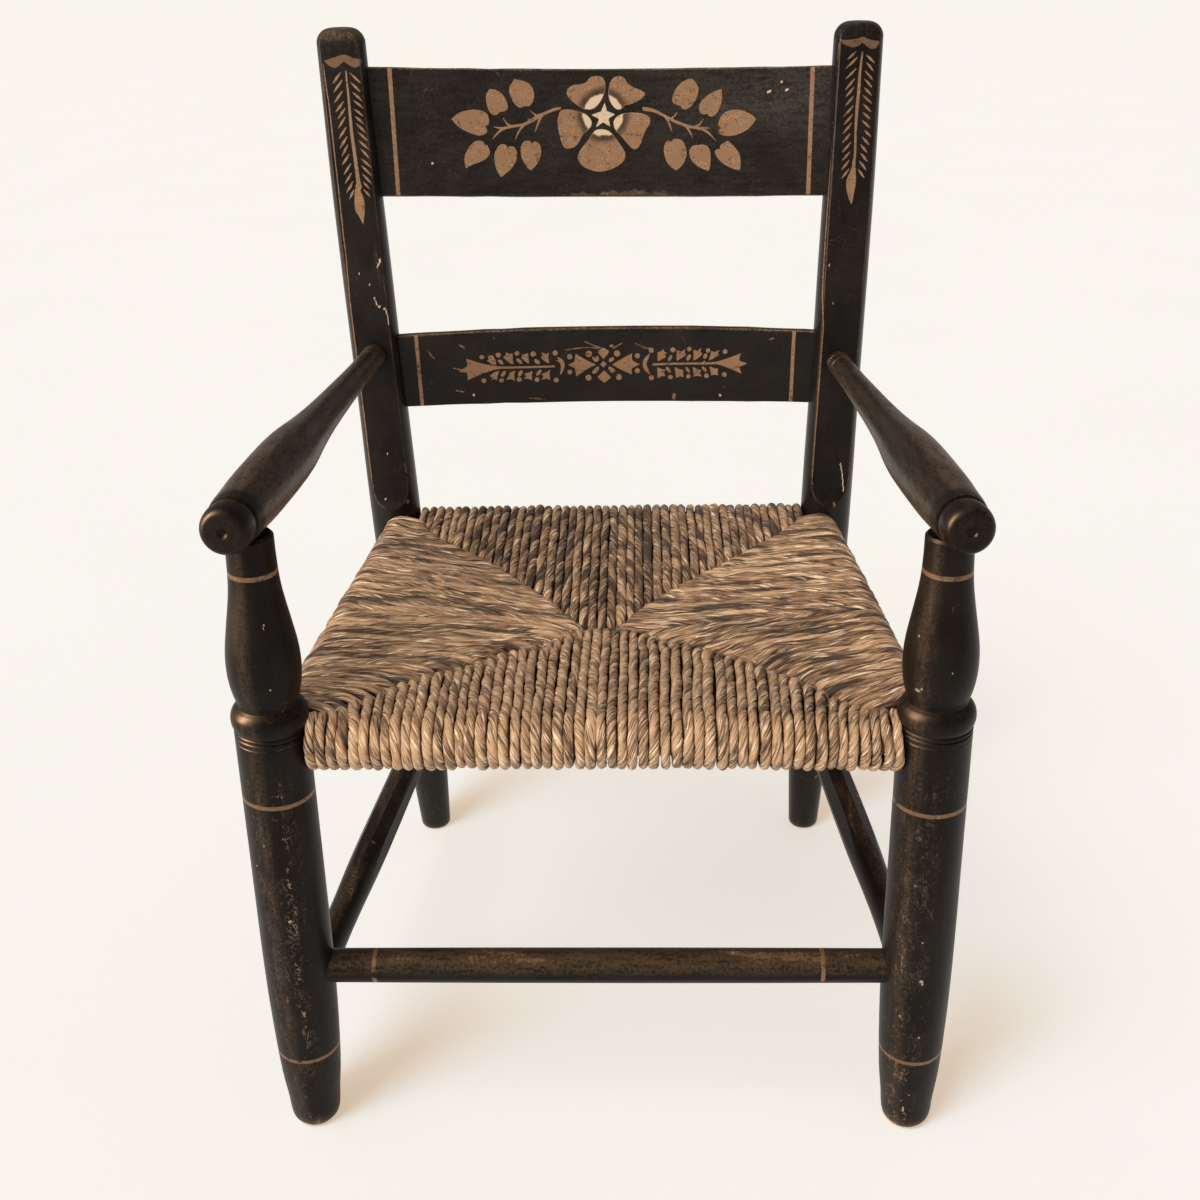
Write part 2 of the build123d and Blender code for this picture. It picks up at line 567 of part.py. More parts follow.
export_step(seat_stuffing.part, "parts/seat_stuffing.step")
export_step(crest_slat_pegs.part, "parts/crest_slat_pegs.step")
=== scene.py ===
"""The looks of a small painted and stencilled rush-seat armchair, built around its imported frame."""

import json
import math

import bpy
import numpy as np
from mathutils import Matrix, Vector

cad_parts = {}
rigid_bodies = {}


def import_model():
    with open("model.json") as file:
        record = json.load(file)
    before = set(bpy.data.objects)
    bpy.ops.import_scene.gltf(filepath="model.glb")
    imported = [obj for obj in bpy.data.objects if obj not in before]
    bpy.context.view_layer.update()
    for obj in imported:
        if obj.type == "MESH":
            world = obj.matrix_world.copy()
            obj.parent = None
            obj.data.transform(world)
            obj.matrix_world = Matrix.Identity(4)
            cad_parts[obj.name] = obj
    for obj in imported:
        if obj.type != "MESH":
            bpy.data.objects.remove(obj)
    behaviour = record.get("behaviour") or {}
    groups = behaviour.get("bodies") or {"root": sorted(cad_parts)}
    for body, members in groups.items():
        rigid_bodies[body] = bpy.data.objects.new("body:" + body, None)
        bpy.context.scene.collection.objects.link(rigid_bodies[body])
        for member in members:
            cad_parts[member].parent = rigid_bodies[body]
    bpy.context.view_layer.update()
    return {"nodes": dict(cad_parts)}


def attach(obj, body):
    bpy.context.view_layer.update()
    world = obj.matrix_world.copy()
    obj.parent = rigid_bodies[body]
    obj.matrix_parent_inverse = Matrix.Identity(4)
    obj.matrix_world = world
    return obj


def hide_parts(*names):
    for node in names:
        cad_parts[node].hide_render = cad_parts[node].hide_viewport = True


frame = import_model()

# ------------------------------------------------------------------ stencil outlines, in mm
# Slats: x along the slat from the middle, height above its lower edge. Posts: x from the post's axis, height above
# the floor. A loop is a closed outline, and a point with a third value is a corner. A line has its width at each
# point. A dot has its half width, half height and turn.
CREST_SHAPES = [
    ("loop", [(-64.6,82.5,1),(-59.1,81.6),(-54.4,79.9),(-51.0,76.3),(-50.0,72.1),(-50.6,67.5),(-53.0,64.1),(-55.7,63.6,1),(-56.9,63.7),(-60.1,62.7),(-63.3,64.5),(-65.9,68.2),(-67.9,73.5),(-67.5,77.7),(-65.7,79.8)], 0),
    ("loop", [(-82.2,75.5,1),(-78.9,75.2),(-75.4,73.7),(-72.3,71.1),(-70.3,67.5),(-69.1,63.2),(-70.7,60.5),(-73.1,59.9),(-75.8,59.4,1),(-76.3,58.2),(-79.2,57.4),(-82.0,59.1),(-83.8,62.6),(-84.8,66.6),(-84.9,71.1),(-83.6,73.7)], 0),
    ("loop", [(-110.4,54.5,1),(-105.1,58.6),(-98.8,60.6),(-93.3,61.1),(-87.8,60.3),(-84.2,57.9),(-82.9,53.8),(-83.7,50.8),(-86.1,49.7,1),(-84.7,47.7),(-84.7,45.3),(-87.3,43.7),(-90.0,43.1),(-95.2,44.2),(-101.4,46.8),(-106.1,49.8)], 0),
    ("loop", [(-89.7,39.3),(-87.2,38.3),(-86.3,35.8,1),(-84.9,36.5),(-82.7,31.7),(-85.2,27.1),(-90.0,24.5),(-95.6,22.5),(-100.7,19.7,1),(-101.4,24.8),(-100.8,29.3),(-98.5,33.9),(-95.3,37.6),(-92.4,39.3)], 0),
    ("loop", [(-73.1,37.1),(-70.8,36.4),(-69.7,34.4,1),(-68.1,35.6),(-65.2,35.2),(-63.3,32.6),(-62.9,28.7),(-64.4,23.7),(-68.3,18.8),(-74.9,13.7,1),(-77.9,18.7),(-79.4,24.9),(-79.3,30.2),(-77.6,34.0),(-75.4,36.5)], 0),
    ("loop", [(-54.8,39.6),(-52.8,39.0),(-51.8,37.2,1),(-50.1,39.0),(-47.7,38.4),(-45.6,35.7),(-45.2,31.1),(-46.7,25.7),(-49.4,21.6),(-53.0,18.5,1),(-56.6,21.9),(-59.3,27.2),(-60.2,32.6),(-59.3,36.9),(-57.2,39.2)], 0),
    ("loop", [(65.6,82.1,1),(61.7,81.8),(57.0,79.2),(53.1,74.7),(51.0,69.9),(51.8,65.7),(54.8,63.9),(57.2,63.7,1),(58.1,61.9),(60.7,61.1),(64.3,62.9),(67.4,66.6),(69.5,71.5),(69.9,75.7),(68.0,79.3)], 0),
    ("loop", [(86.6,74.9,1),(82.2,73.6),(76.8,70.7),(72.4,67.0),(70.6,63.3),(71.1,59.5),(73.8,57.5),(76.8,57.9,1),(78.1,56.1),(80.3,56.1),(83.3,58.1),(85.5,62.3),(86.9,66.8),(86.9,71.3)], 0),
    ("loop", [(112.0,53.8,1),(107.6,57.5),(101.2,60.0),(95.0,60.4),(89.5,58.7),(86.3,55.4),(84.8,51.0),(85.8,48.8),(87.5,47.8,1),(85.2,46.5),(84.9,44.5),(88.2,42.7),(93.8,42.3),(99.2,43.3),(104.7,45.8),(109.0,49.5)], 0),
    ("loop", [(55.1,40.6),(57.5,39.9),(59.9,37.6),(61.3,33.8),(61.9,29.2),(60.0,23.9),(57.2,20.4),(54.2,18.3,1),(50.5,20.9),(47.3,24.7),(45.5,30.1),(45.3,34.7),(46.4,37.9),(48.4,39.4),(50.8,38.5,1),(52.1,40.3)], 0),
    ("loop", [(71.0,36.2,1),(74.1,36.4),(77.3,34.9),(79.1,31.4),(79.5,26.0),(79.3,21.5),(78.1,17.8,1),(73.6,19.4),(68.0,22.8),(64.8,26.9),(63.8,31.5),(64.7,34.2),(67.3,35.9)], 0),
    ("loop", [(92.3,38.7),(95.0,36.2),(98.0,33.2),(100.6,28.9),(101.5,23.5),(101.0,18.2,1),(95.8,19.3),(90.2,22.0),(85.4,26.0),(82.6,30.6),(83.7,32.9),(86.4,33.1,1),(86.5,35.7),(88.8,37.5)], 0),
    ("loop", [(-4.3,84.7),(-0.6,84.1),(1.6,81.3),(2.1,75.8),(0.3,70.2),(-2.9,65.1),(-6.8,62.0),(-11.0,61.4),(-15.7,62.9),(-20.8,66.1),(-24.4,69.4),(-26.3,73.1),(-24.9,76.3),(-21.2,78.4),(-16.5,79.0),(-12.2,80.2),(-9.6,82.9),(-7.3,84.4)], 0),
    ("loop", [(8.1,83.4),(12.2,84.6),(16.0,83.1),(18.3,79.5),(22.0,77.0),(26.3,75.4),(29.9,73.5),(31.2,71.9),(28.7,68.9),(24.7,66.7),(20.5,65.0),(16.3,64.1),(13.7,61.6),(10.3,61.6),(7.1,64.5),(4.9,69.0),(4.4,74.3),(5.4,79.5)], 0),
    ("loop", [(-28.4,61.4),(-23.2,61.4),(-17.0,59.9),(-11.6,57.7),(-8.3,53.9),(-8.0,50.6),(-10.7,47.1),(-14.7,43.3),(-17.2,38.7),(-20.3,35.4),(-25.1,34.0),(-28.6,35.5),(-30.8,41.0),(-32.3,47.6),(-32.8,54.3),(-31.3,59.6)], 0),
    ("loop", [(19.5,59.1),(25.9,59.1),(31.1,57.9),(34.5,55.6),(34.8,51.5),(32.3,47.7),(29.8,42.4),(28.1,37.1),(24.9,33.7),(21.4,34.4),(17.4,38.6),(13.4,43.2),(9.7,47.0),(8.1,51.2),(9.2,54.9),(13.2,57.8)], 0),
    ("loop", [(-0.6,47.7),(4.3,46.6),(8.3,43.2),(12.4,37.9),(16.3,32.1),(16.9,27.9),(13.9,23.4),(8.5,20.3),(3.4,18.5),(-2.2,17.6),(-7.8,18.6),(-13.6,21.1),(-17.4,25.0),(-18.1,28.8),(-15.8,33.7),(-11.2,39.0),(-7.8,43.9),(-4.9,46.9)], 0),
    ("loop", [(1.7,66.3,1),(3.3,60.3,1),(9.4,58.1,1),(4.6,55.1,1),(5.9,49.3,1),(0.5,52.4,1),(-4.9,48.9,1),(-2.4,54.8,1),(-8.4,57.6,1),(-1.1,60.0,1)], 0),
    ("line", [(-31.1,62.4),(-36.4,61.1),(-42.4,58.6),(-47.5,56.5),(-52.3,53.3),(-58.7,50.7),(-66.6,49.5),(-72.7,47.8),(-77.0,44.7),(-80.9,40.3)], [1.75,2.06,1.9,2.86,2.22,1.9,1.9,2.06,1.43,0.48]),
    ("line", [(-47.2,56.7),(-50.3,58.5),(-53.5,61.0)], [1.9,0.95,0.48]),
    ("line", [(-44.6,57.0),(-47.2,51.7),(-49.7,45.0)], [1.9,1.43,0.32]),
    ("line", [(-66.3,49.5),(-70.1,51.6),(-72.6,55.4)], [1.59,1.27,0.48]),
    ("line", [(-57.4,50.9),(-61.3,46.0),(-64.2,39.9)], [1.9,1.43,0.32]),
    ("line", [(-70.6,48.4),(-75.4,48.4),(-79.8,49.3)], [1.58,1.27,0.48]),
    ("line", [(-50.7,54.5),(-53.6,54.5),(-55.2,53.9)], [1.27,0.79,0.48]),
    ("line", [(30.6,61.8),(37.4,60.5),(44.6,57.2),(51.0,53.8),(57.3,51.2),(63.7,49.0),(71.6,47.5),(77.2,44.9),(83.4,38.8)], [2.85,2.22,1.9,2.06,1.9,1.9,1.74,1.58,0.48]),
    ("line", [(45.9,56.7),(49.1,50.9),(51.4,44.7)], [1.58,1.43,0.32]),
    ("line", [(49.7,54.2),(52.8,56.6),(54.9,59.6)], [1.74,1.27,0.48]),
    ("line", [(60.2,50.5),(63.7,46.0),(66.8,40.3)], [1.58,1.42,0.32]),
    ("line", [(66.1,48.4),(70.8,50.3),(73.7,54.2)], [1.58,1.26,0.47]),
    ("line", [(70.8,47.9),(75.1,48.1),(79.6,47.8)], [1.58,1.11,0.47]),
]
LOWER_SHAPES = [
    ("loop", [(-40.0,28.5,1),(-51.2,28.4),(-67.3,28.3),(-78.0,28.4),(-85.5,29.0),(-91.9,30.2),(-98.2,31.9),(-107.8,35.2,1),(-106.7,32.0),(-106.7,29.6,1),(-109.6,27.7),(-111.2,27.1,1),(-117.5,28.6,1),(-117.7,27.9,1),(-112.5,26.5,1),(-113.0,25.0,1),(-107.5,24.9,1),(-106.9,21.8),(-107.1,18.4,1),(-100.8,21.4),(-92.1,24.5),(-85.6,26.4),(-78.1,26.8),(-67.4,26.8),(-51.2,26.8),(-39.8,27.1,1)], 0),
    ("loop", [(-90.7,36.8,1),(-87.3,37.3,1),(-85.7,34.4),(-84.7,30.0,1),(-88.1,30.3),(-90.3,32.3,1),(-92.0,32.8,1),(-90.4,34.1,1)], 0),
    ("loop", [(-77.4,39.7,1),(-75.1,38.3),(-72.0,38.1,1),(-72.1,34.4),(-71.7,29.7,1),(-75.2,31.7),(-79.4,35.4,1),(-77.3,36.9,1)], 0),
    ("loop", [(-65.6,37.6,1),(-63.3,37.5,1),(-60.0,38.5,1),(-60.1,34.6),(-59.5,30.1,1),(-63.1,32.3),(-65.9,35.3,1),(-64.0,36.2,1)], 0),
    ("loop", [(-50.0,39.0,1),(-47.5,37.7),(-44.3,38.2,1),(-44.8,34.3),(-44.2,29.8,1),(-48.1,32.2),(-51.0,35.2,1),(-49.5,35.8,1)], 0),
    ("loop", [(-82.5,25.4,1),(-84.1,21.6),(-84.7,17.7,1),(-86.6,19.2,1),(-89.2,18.2,1),(-88.2,20.2,1),(-90.5,21.4,1),(-86.5,24.1)], 0),
    ("loop", [(-70.3,25.2,1),(-71.4,21.3),(-71.0,17.1,1),(-74.1,18.8,1),(-77.7,18.2,1),(-75.6,20.8,1),(-74.5,23.5)], 0),
    ("loop", [(-57.1,24.8,1),(-58.0,21.0),(-57.6,17.2,1),(-60.6,18.6,1),(-64.6,18.6,1),(-62.1,20.4,1),(-63.6,22.6,1),(-60.2,23.4)], 0),
    ("loop", [(-43.5,25.4,1),(-44.2,21.4),(-43.8,17.2,1),(-46.6,18.5,1),(-50.5,17.6,1),(-48.9,20.1,1),(-50.5,22.2,1),(-47.0,23.4)], 0),
    ("loop", [(-38.9,35.1,1),(-34.9,33.6),(-32.5,29.8),(-33.4,25.0),(-36.6,20.1,1),(-35.5,25.3),(-36.0,29.7),(-39.6,32.4,1),(-36.9,32.4)], 0),
    ("loop", [(-8.3,28.6,1),(-15.6,32.1),(-23.9,37.2,1),(-24.4,34.0),(-24.9,31.2,1),(-29.9,28.6,1),(-24.7,26.2,1),(-24.2,23.2),(-23.8,19.6,1),(-15.7,25.0)], 0),
    ("loop", [(-2.7,31.4,1),(-0.1,28.7,1),(-2.8,26.3,1),(-5.2,28.8,1)], 0),
    ("loop", [(-3.1,41.8,1),(1.7,38.8,1),(0.1,35.8),(-2.6,32.7,1),(-5.3,35.9),(-7.0,38.5,1)], 0),
    ("loop", [(-2.2,24.2,1),(3.0,18.7,1),(-2.2,14.4,1),(-7.5,18.8,1)], 0),
    ("loop", [(-11.2,34.7),(-9.1,34.0,1),(-7.5,35.5),(-6.2,34.0),(-6.6,31.6),(-8.5,30.7),(-10.6,32.3)], 0),
    ("loop", [(5.4,33.8),(5.3,32.1),(3.1,30.6),(1.6,30.8),(1.7,32.6),(3.6,34.2)], 0),
    ("loop", [(-7.2,27.0),(-6.0,25.7),(-7.4,23.0),(-9.9,21.7),(-11.4,22.8),(-9.8,25.3)], 0),
    ("loop", [(0.9,26.1),(2.6,26.9),(5.2,25.3),(6.2,23.4),(4.5,22.1),(2.3,23.4)], 0),
    ("dot", (-95.6,36.0), [1.81,1.6,0]),
    ("dot", (-83.0,37.3), [1.92,1.92,0]),
    ("dot", (-68.7,38.2), [1.82,1.82,0]),
    ("dot", (-56.4,37.6), [2.04,2.04,0]),
    ("dot", (-39.6,38.0), [1.93,1.93,0]),
    ("dot", (-81.3,31.9), [2.67,1.28,40]),
    ("dot", (-67.2,32.4), [2.89,1.29,45]),
    ("dot", (-53.5,31.6), [2.58,1.4,40]),
    ("dot", (-94.7,18.0), [1.82,1.82,0]),
    ("dot", (-81.2,17.9), [1.72,1.72,0]),
    ("dot", (-67.6,18.1), [1.94,1.72,0]),
    ("dot", (-54.0,17.8), [1.83,1.83,0]),
    ("dot", (-39.2,17.2), [1.84,1.84,0]),
    ("dot", (-79.6,22.9), [2.57,1.39,-55]),
    ("dot", (-66.7,22.9), [2.47,1.4,-60]),
    ("dot", (-52.4,23.2), [2.69,1.29,-50]),
    ("dot", (-28.5,34.9), [2.04,2.04,0]),
    ("dot", (-28.6,23.1), [1.83,1.83,0]),
    ("dot", (-13.8,37.0), [2.47,2.47,0]),
    ("dot", (-14.4,18.6), [2.27,2.27,0]),
    ("dot", (3.7,42.8), [1.61,0.97,0]),
    ("loop", [(3.7,28.5,1),(11.8,33.0),(19.3,37.1,1),(19.1,34.0),(19.6,31.2,1),(25.2,28.7,1),(19.0,25.5,1),(18.9,22.9),(19.2,20.5,1),(10.6,24.7)], 0),
    ("loop", [(32.8,36.7,1),(29.2,33.6),(27.4,29.6),(28.5,24.6),(33.0,20.2,1),(31.7,24.8),(30.3,28.6),(31.7,32.9)], 0),
    ("loop", [(34.6,28.1,1),(34.6,29.2,1),(51.5,29.6),(67.5,29.8),(81.4,30.1),(89.9,32.4),(102.0,36.9,1),(101.3,34.2),(100.7,31.3,1),(107.1,29.2,1),(100.8,26.6,1),(101.7,24.3),(102.8,21.3,1),(94.2,25.0),(86.7,27.8),(81.4,28.4),(67.5,28.2),(51.5,28.1),(35.4,27.5,1)], 0),
    ("loop", [(38.6,37.8,1),(41.3,38.1,1),(43.5,40.4,1),(43.8,37.9,1),(46.1,37.4,1),(44.2,35.5,1),(45.6,33.9,1),(42.7,32.7),(38.9,30.6,1)], 0),
    ("loop", [(53.3,39.3,1),(56.8,38.0,1),(60.1,40.1,1),(59.3,37.4,1),(60.9,35.9,1),(57.0,33.1),(53.4,31.1,1)], 0),
    ("loop", [(66.1,39.6,1),(69.1,38.5,1),(72.3,41.1,1),(71.2,38.0,1),(73.2,36.4,1),(69.9,33.3),(66.2,31.1,1)], 0),
    ("loop", [(79.7,38.6,1),(82.4,37.8,1),(86.2,39.3,1),(84.4,36.7,1),(85.9,35.5,1),(82.4,33.7),(77.8,31.1,1)], 0),
    ("loop", [(38.6,26.5,1),(41.6,24.8),(44.9,24.3,1),(43.6,21.7,1),(45.2,19.2,1),(41.8,19.4,1),(38.8,17.5,1)], 0),
    ("loop", [(51.9,26.5,1),(55.6,24.7),(58.6,24.1,1),(58.3,21.0,1),(58.9,18.4,1),(55.8,19.2,1),(52.9,17.9,1)], 0),
    ("loop", [(65.6,26.8,1),(69.1,24.7),(72.3,24.0,1),(70.9,21.5,1),(73.1,18.7,1),(69.7,19.6,1),(66.5,19.0,1)], 0),
    ("loop", [(78.3,27.1,1),(81.9,25.6),(85.3,24.9,1),(84.5,22.1,1),(85.3,19.8,1),(82.0,20.7,1),(79.9,20.0,1)], 0),
    ("dot", (7.8,37.0), [2.36,2.36,0]),
    ("dot", (9.1,18.8), [2.27,2.27,0]),
    ("dot", (23.4,35.1), [1.93,1.93,0]),
    ("dot", (23.3,23.7), [1.94,1.94,0]),
    ("dot", (34.0,39.1), [1.93,1.93,0]),
    ("dot", (50.5,39.4), [1.92,1.92,0]),
    ("dot", (63.0,40.0), [1.71,1.71,0]),
    ("dot", (77.3,38.9), [1.7,1.7,0]),
    ("dot", (90.1,38.1), [1.8,1.8,0]),
    ("dot", (34.1,18.1), [1.94,1.94,0]),
    ("dot", (48.6,18.6), [1.94,1.61,0]),
    ("dot", (62.4,19.2), [1.72,1.72,0]),
    ("dot", (76.2,19.6), [1.82,1.82,0]),
    ("dot", (89.8,20.6), [1.81,1.81,0]),
    ("dot", (48.3,33.1), [2.68,1.18,-58]),
    ("dot", (62.5,33.5), [2.56,1.39,-62]),
    ("dot", (75.2,34.6), [2.13,1.49,-62]),
    ("dot", (74.3,30.5), [0.96,0.64,-30]),
    ("dot", (47.0,24.3), [2.79,1.18,52]),
    ("dot", (61.8,24.2), [2.68,1.07,55]),
    ("dot", (74.5,24.7), [2.56,1.07,52]),
]
POST_LEFT_SHAPES = [
    ("loop", [(-11.7,627.4,1),(-7.9,628.4),(-3.7,629.5),(-0.2,630.6),(3.3,631.1),(6.7,630.2),(10.0,628.8),(13.3,628.2),(15.8,627.6),(15.4,626.0),(13.4,623.7),(10.4,622.6),(7.1,623.7),(4.6,625.3),(2.6,626.6,1),(0.4,625.4),(-2.1,623.5),(-5.0,622.6),(-8.6,624.4),(-10.8,626.4)], 0),
    ("line", [(3.3,620.3),(3.2,601.8),(2.8,581.6),(3.2,565.5),(3.6,549.3),(4.1,542.8)], [1.03,1.61,2.07,2.41,2.87,3.44]),
    ("loop", [(2.7,547.2),(4.0,545.5),(4.6,540.1),(6.2,534.9),(6.1,527.4),(3.7,516.7,1),(1.5,522.1),(-0.9,526.9),(-0.7,533.0),(0.4,539.6)], 0),
    ("line", [(-6.8,612.8),(-3.7,616.1),(-0.8,619.4)], [0.46,1.72,0.57]),
    ("line", [(-7.0,606.7),(-3.4,610.7),(0.1,614.7)], [0.46,1.73,0.58]),
    ("line", [(-7.4,599.6),(-4.0,603.5),(-0.8,607.3)], [0.46,1.73,0.58]),
    ("line", [(-7.3,593.4),(-3.9,596.9),(-0.7,600.5)], [0.46,1.73,0.58]),
    ("line", [(-6.2,589.0),(-3.1,592.3),(-0.3,595.7)], [0.46,1.73,0.58]),
    ("line", [(-6.6,582.6),(-3.6,586.4),(-0.7,590.2)], [0.46,1.74,0.58]),
    ("line", [(-6.9,575.8),(-3.7,579.6),(-0.7,583.4)], [0.46,1.74,0.58]),
    ("line", [(-7.1,569.2),(-3.9,573.1),(-0.9,577.0)], [0.46,1.74,0.58]),
    ("line", [(-6.3,563.9),(-3.5,567.8),(-1.0,571.6)], [0.46,1.74,0.58]),
    ("line", [(-6.8,557.9),(-3.7,561.5),(-0.8,565.1)], [0.47,1.74,0.58]),
    ("line", [(-6.3,551.4),(-3.3,555.0),(-0.4,558.7)], [0.47,1.75,0.58]),
    ("line", [(-6.2,545.2),(-3.3,548.9),(-0.6,552.5)], [0.47,1.75,0.58]),
    ("line", [(-5.8,539.0),(-2.8,542.9),(-0.1,546.8)], [0.47,1.75,0.58]),
    ("line", [(-4.3,534.6),(-2.1,537.8),(-0.2,540.9)], [0.47,1.75,0.58]),
    ("line", [(5.9,619.2),(9.5,615.8),(12.9,612.4)], [0.46,1.72,0.57]),
    ("line", [(5.6,613.2),(9.0,609.9),(12.1,606.6)], [0.46,1.72,0.57]),
    ("line", [(6.3,606.6),(9.7,603.5),(12.8,600.5)], [0.46,1.73,0.58]),
    ("line", [(6.5,601.0),(9.9,598.4),(13.0,595.7)], [0.46,1.73,0.58]),
    ("line", [(6.1,595.5),(9.4,593.0),(12.4,590.4)], [0.46,1.73,0.58]),
    ("line", [(6.2,590.7),(9.2,588.1),(12.0,585.4)], [0.46,1.73,0.58]),
    ("line", [(6.7,585.7),(10.0,582.5),(13.0,579.2)], [0.46,1.73,0.58]),
    ("line", [(7.2,580.0),(10.6,576.9),(13.8,573.8)], [0.46,1.74,0.58]),
    ("line", [(7.1,574.4),(10.6,571.2),(13.8,568.0)], [0.46,1.74,0.58]),
    ("line", [(8.0,568.8),(10.9,565.4),(13.6,562.0)], [0.46,1.74,0.58]),
    ("line", [(7.7,562.1),(11.2,558.8),(14.6,555.6)], [0.46,1.74,0.58]),
    ("line", [(7.1,557.5),(10.4,554.1),(13.5,550.7)], [0.46,1.74,0.58]),
    ("line", [(7.1,551.8),(10.2,548.4),(13.1,545.0)], [0.47,1.75,0.58]),
    ("line", [(6.8,546.7),(9.0,544.1),(11.1,541.4)], [0.47,1.75,0.58]),
    ("line", [(6.5,541.3),(9.0,538.7),(11.2,536.0)], [0.47,1.75,0.58]),
    ("line", [(-12.5,625.2),(-12.1,611.5),(-11.5,597.8),(-11.4,576.5),(-11.4,560.3),(-11.4,544.1),(-11.6,527.6),(-12.0,508.7),(-12.0,492.9),(-12.9,467.7),(-13.7,442.2),(-15.4,412.7),(-17.1,382.6),(-18.0,364.3)], [1.03,1.03,1.03,1.03,1.03,1.03,1.03,1.03,1.03,1.03,1.03,1.03,1.03,1.03]),
]
POST_RIGHT_SHAPES = [
    ("loop", [(-15.0,636.0,1),(-10.7,635.2),(-6.2,635.4),(-2.0,635.9),(1.5,637.2),(5.0,635.7),(9.5,634.5),(13.2,634.0),(12.9,631.8),(11.0,629.4),(8.2,629.1),(5.1,630.6),(1.7,633.2,1),(-0.8,631.5),(-4.6,630.4),(-8.8,631.3),(-12.8,633.3)], 0),
    ("line", [(2.0,627.3),(1.1,613.0),(1.1,602.6),(0.7,592.2),(0.7,576.4),(1.4,560.5),(0.8,554.1)], [1.01,1.91,2.14,2.25,1.69,1.58,2.25]),
    ("loop", [(0.9,557.3),(2.1,554.1),(2.7,548.7),(3.3,543.3),(2.8,535.2),(1.4,525.6,1),(-1.5,531.5),(-3.4,538.6),(-3.2,543.4),(-1.3,548.2),(0.1,553.5)], 0),
    ("line", [(-8.2,622.6),(-5.2,625.2),(-2.5,627.8)], [0.45,1.69,0.56]),
    ("line", [(-8.7,616.9),(-4.9,620.4),(-1.4,623.8)], [0.45,1.69,0.56]),
    ("line", [(-8.6,609.9),(-5.0,613.2),(-1.7,616.6)], [0.45,1.7,0.57]),
    ("line", [(-8.5,602.6),(-5.3,606.3),(-2.4,610.0)], [0.45,1.7,0.57]),
    ("line", [(-8.0,597.9),(-5.2,601.1),(-2.6,604.3)], [0.45,1.7,0.57]),
    ("line", [(-7.6,592.2),(-4.9,595.3),(-2.5,598.3)], [0.45,1.7,0.57]),
    ("line", [(-8.7,584.9),(-5.3,588.6),(-2.1,592.3)], [0.45,1.71,0.57]),
    ("line", [(-8.1,579.6),(-5.0,583.1),(-2.2,586.5)], [0.46,1.71,0.57]),
    ("line", [(-8.3,573.8),(-5.2,577.4),(-2.4,581.0)], [0.46,1.71,0.57]),
    ("line", [(-8.1,567.9),(-5.4,570.9),(-3.0,573.9)], [0.46,1.71,0.57]),
    ("line", [(-8.0,561.3),(-4.9,564.7),(-2.1,568.1)], [0.46,1.71,0.57]),
    ("line", [(-7.6,555.9),(-4.9,558.8),(-2.5,561.7)], [0.46,1.72,0.57]),
    ("line", [(-7.7,549.5),(-5.0,552.8),(-2.6,556.1)], [0.46,1.72,0.57]),
    ("line", [(-7.1,543.8),(-4.6,547.0),(-2.3,550.2)], [0.46,1.72,0.57]),
    ("line", [(4.4,625.5),(7.8,622.8),(11.0,620.0)], [0.45,1.69,0.56]),
    ("line", [(4.9,620.8),(7.8,617.8),(10.5,614.7)], [0.45,1.69,0.56]),
    ("line", [(4.5,615.0),(7.7,611.9),(10.6,608.8)], [0.45,1.69,0.56]),
    ("line", [(4.5,609.8),(7.6,606.8),(10.5,603.8)], [0.45,1.7,0.57]),
    ("line", [(4.6,604.2),(7.6,601.5),(10.5,598.7)], [0.45,1.7,0.57]),
    ("line", [(4.1,599.0),(7.6,596.3),(10.9,593.5)], [0.45,1.7,0.57]),
    ("line", [(4.5,593.6),(7.7,590.8),(10.7,588.0)], [0.45,1.7,0.57]),
    ("line", [(4.6,588.0),(7.8,585.5),(10.7,583.0)], [0.45,1.7,0.57]),
    ("line", [(4.5,582.8),(7.8,580.0),(10.9,577.2)], [0.45,1.7,0.57]),
    ("line", [(6.6,576.2),(9.4,573.8),(11.9,571.4)], [0.46,1.71,0.57]),
    ("line", [(5.5,571.7),(8.5,568.7),(11.2,565.7)], [0.46,1.71,0.57]),
    ("line", [(4.8,566.7),(7.5,563.7),(10.1,560.8)], [0.46,1.71,0.57]),
    ("line", [(5.2,560.8),(8.0,557.9),(10.5,554.9)], [0.46,1.71,0.57]),
    ("line", [(4.6,555.7),(7.5,552.5),(10.1,549.2)], [0.46,1.71,0.57]),
    ("line", [(4.2,550.2),(6.8,547.0),(9.1,543.9)], [0.46,1.72,0.57]),
    ("line", [(-14.5,633.4),(-15.4,623.6),(-15.6,611.2),(-15.8,596.6),(-15.9,576.6),(-15.9,560.7),(-15.8,544.7),(-15.8,531.7),(-15.8,517.4),(-15.7,500.8),(-15.6,487.6),(-15.1,461.2),(-14.3,432.4),(-13.1,403.0),(-12.1,379.1),(-11.4,362.1)], [1.01,1.01,1.01,1.01,1.01,1.01,1.01,1.01,1.01,1.01,1.01,1.01,1.01,1.01,1.01,1.01]),
]


# ------------------------------------------------------------------ small tools
MM = 0.001
Y0 = -186.3                      # y of the front leg axes in the row frame, in mm


def lerp_table(table, z):
    """Columns of a table at a height, straight between its rows."""
    table = np.asarray(table, float)
    return [np.interp(z, table[:, 0], table[:, i]) for i in range(1, table.shape[1])]


def sstep(x, lo, hi):
    t = np.clip((np.asarray(x, float) - lo) / (hi - lo), 0, 1)
    return t * t * (3 - 2 * t)


def soft_noise(n, rng, smooth):
    """A smooth random row of n values, about -1 to 1."""
    m = max(4, int(n / smooth) + 4)
    v = rng.uniform(-1, 1, m)
    x = np.linspace(1, m - 3, n)
    i = x.astype(int)
    f = x - i
    f = f * f * (3 - 2 * f)
    return v[i] * (1 - f) + v[i + 1] * f


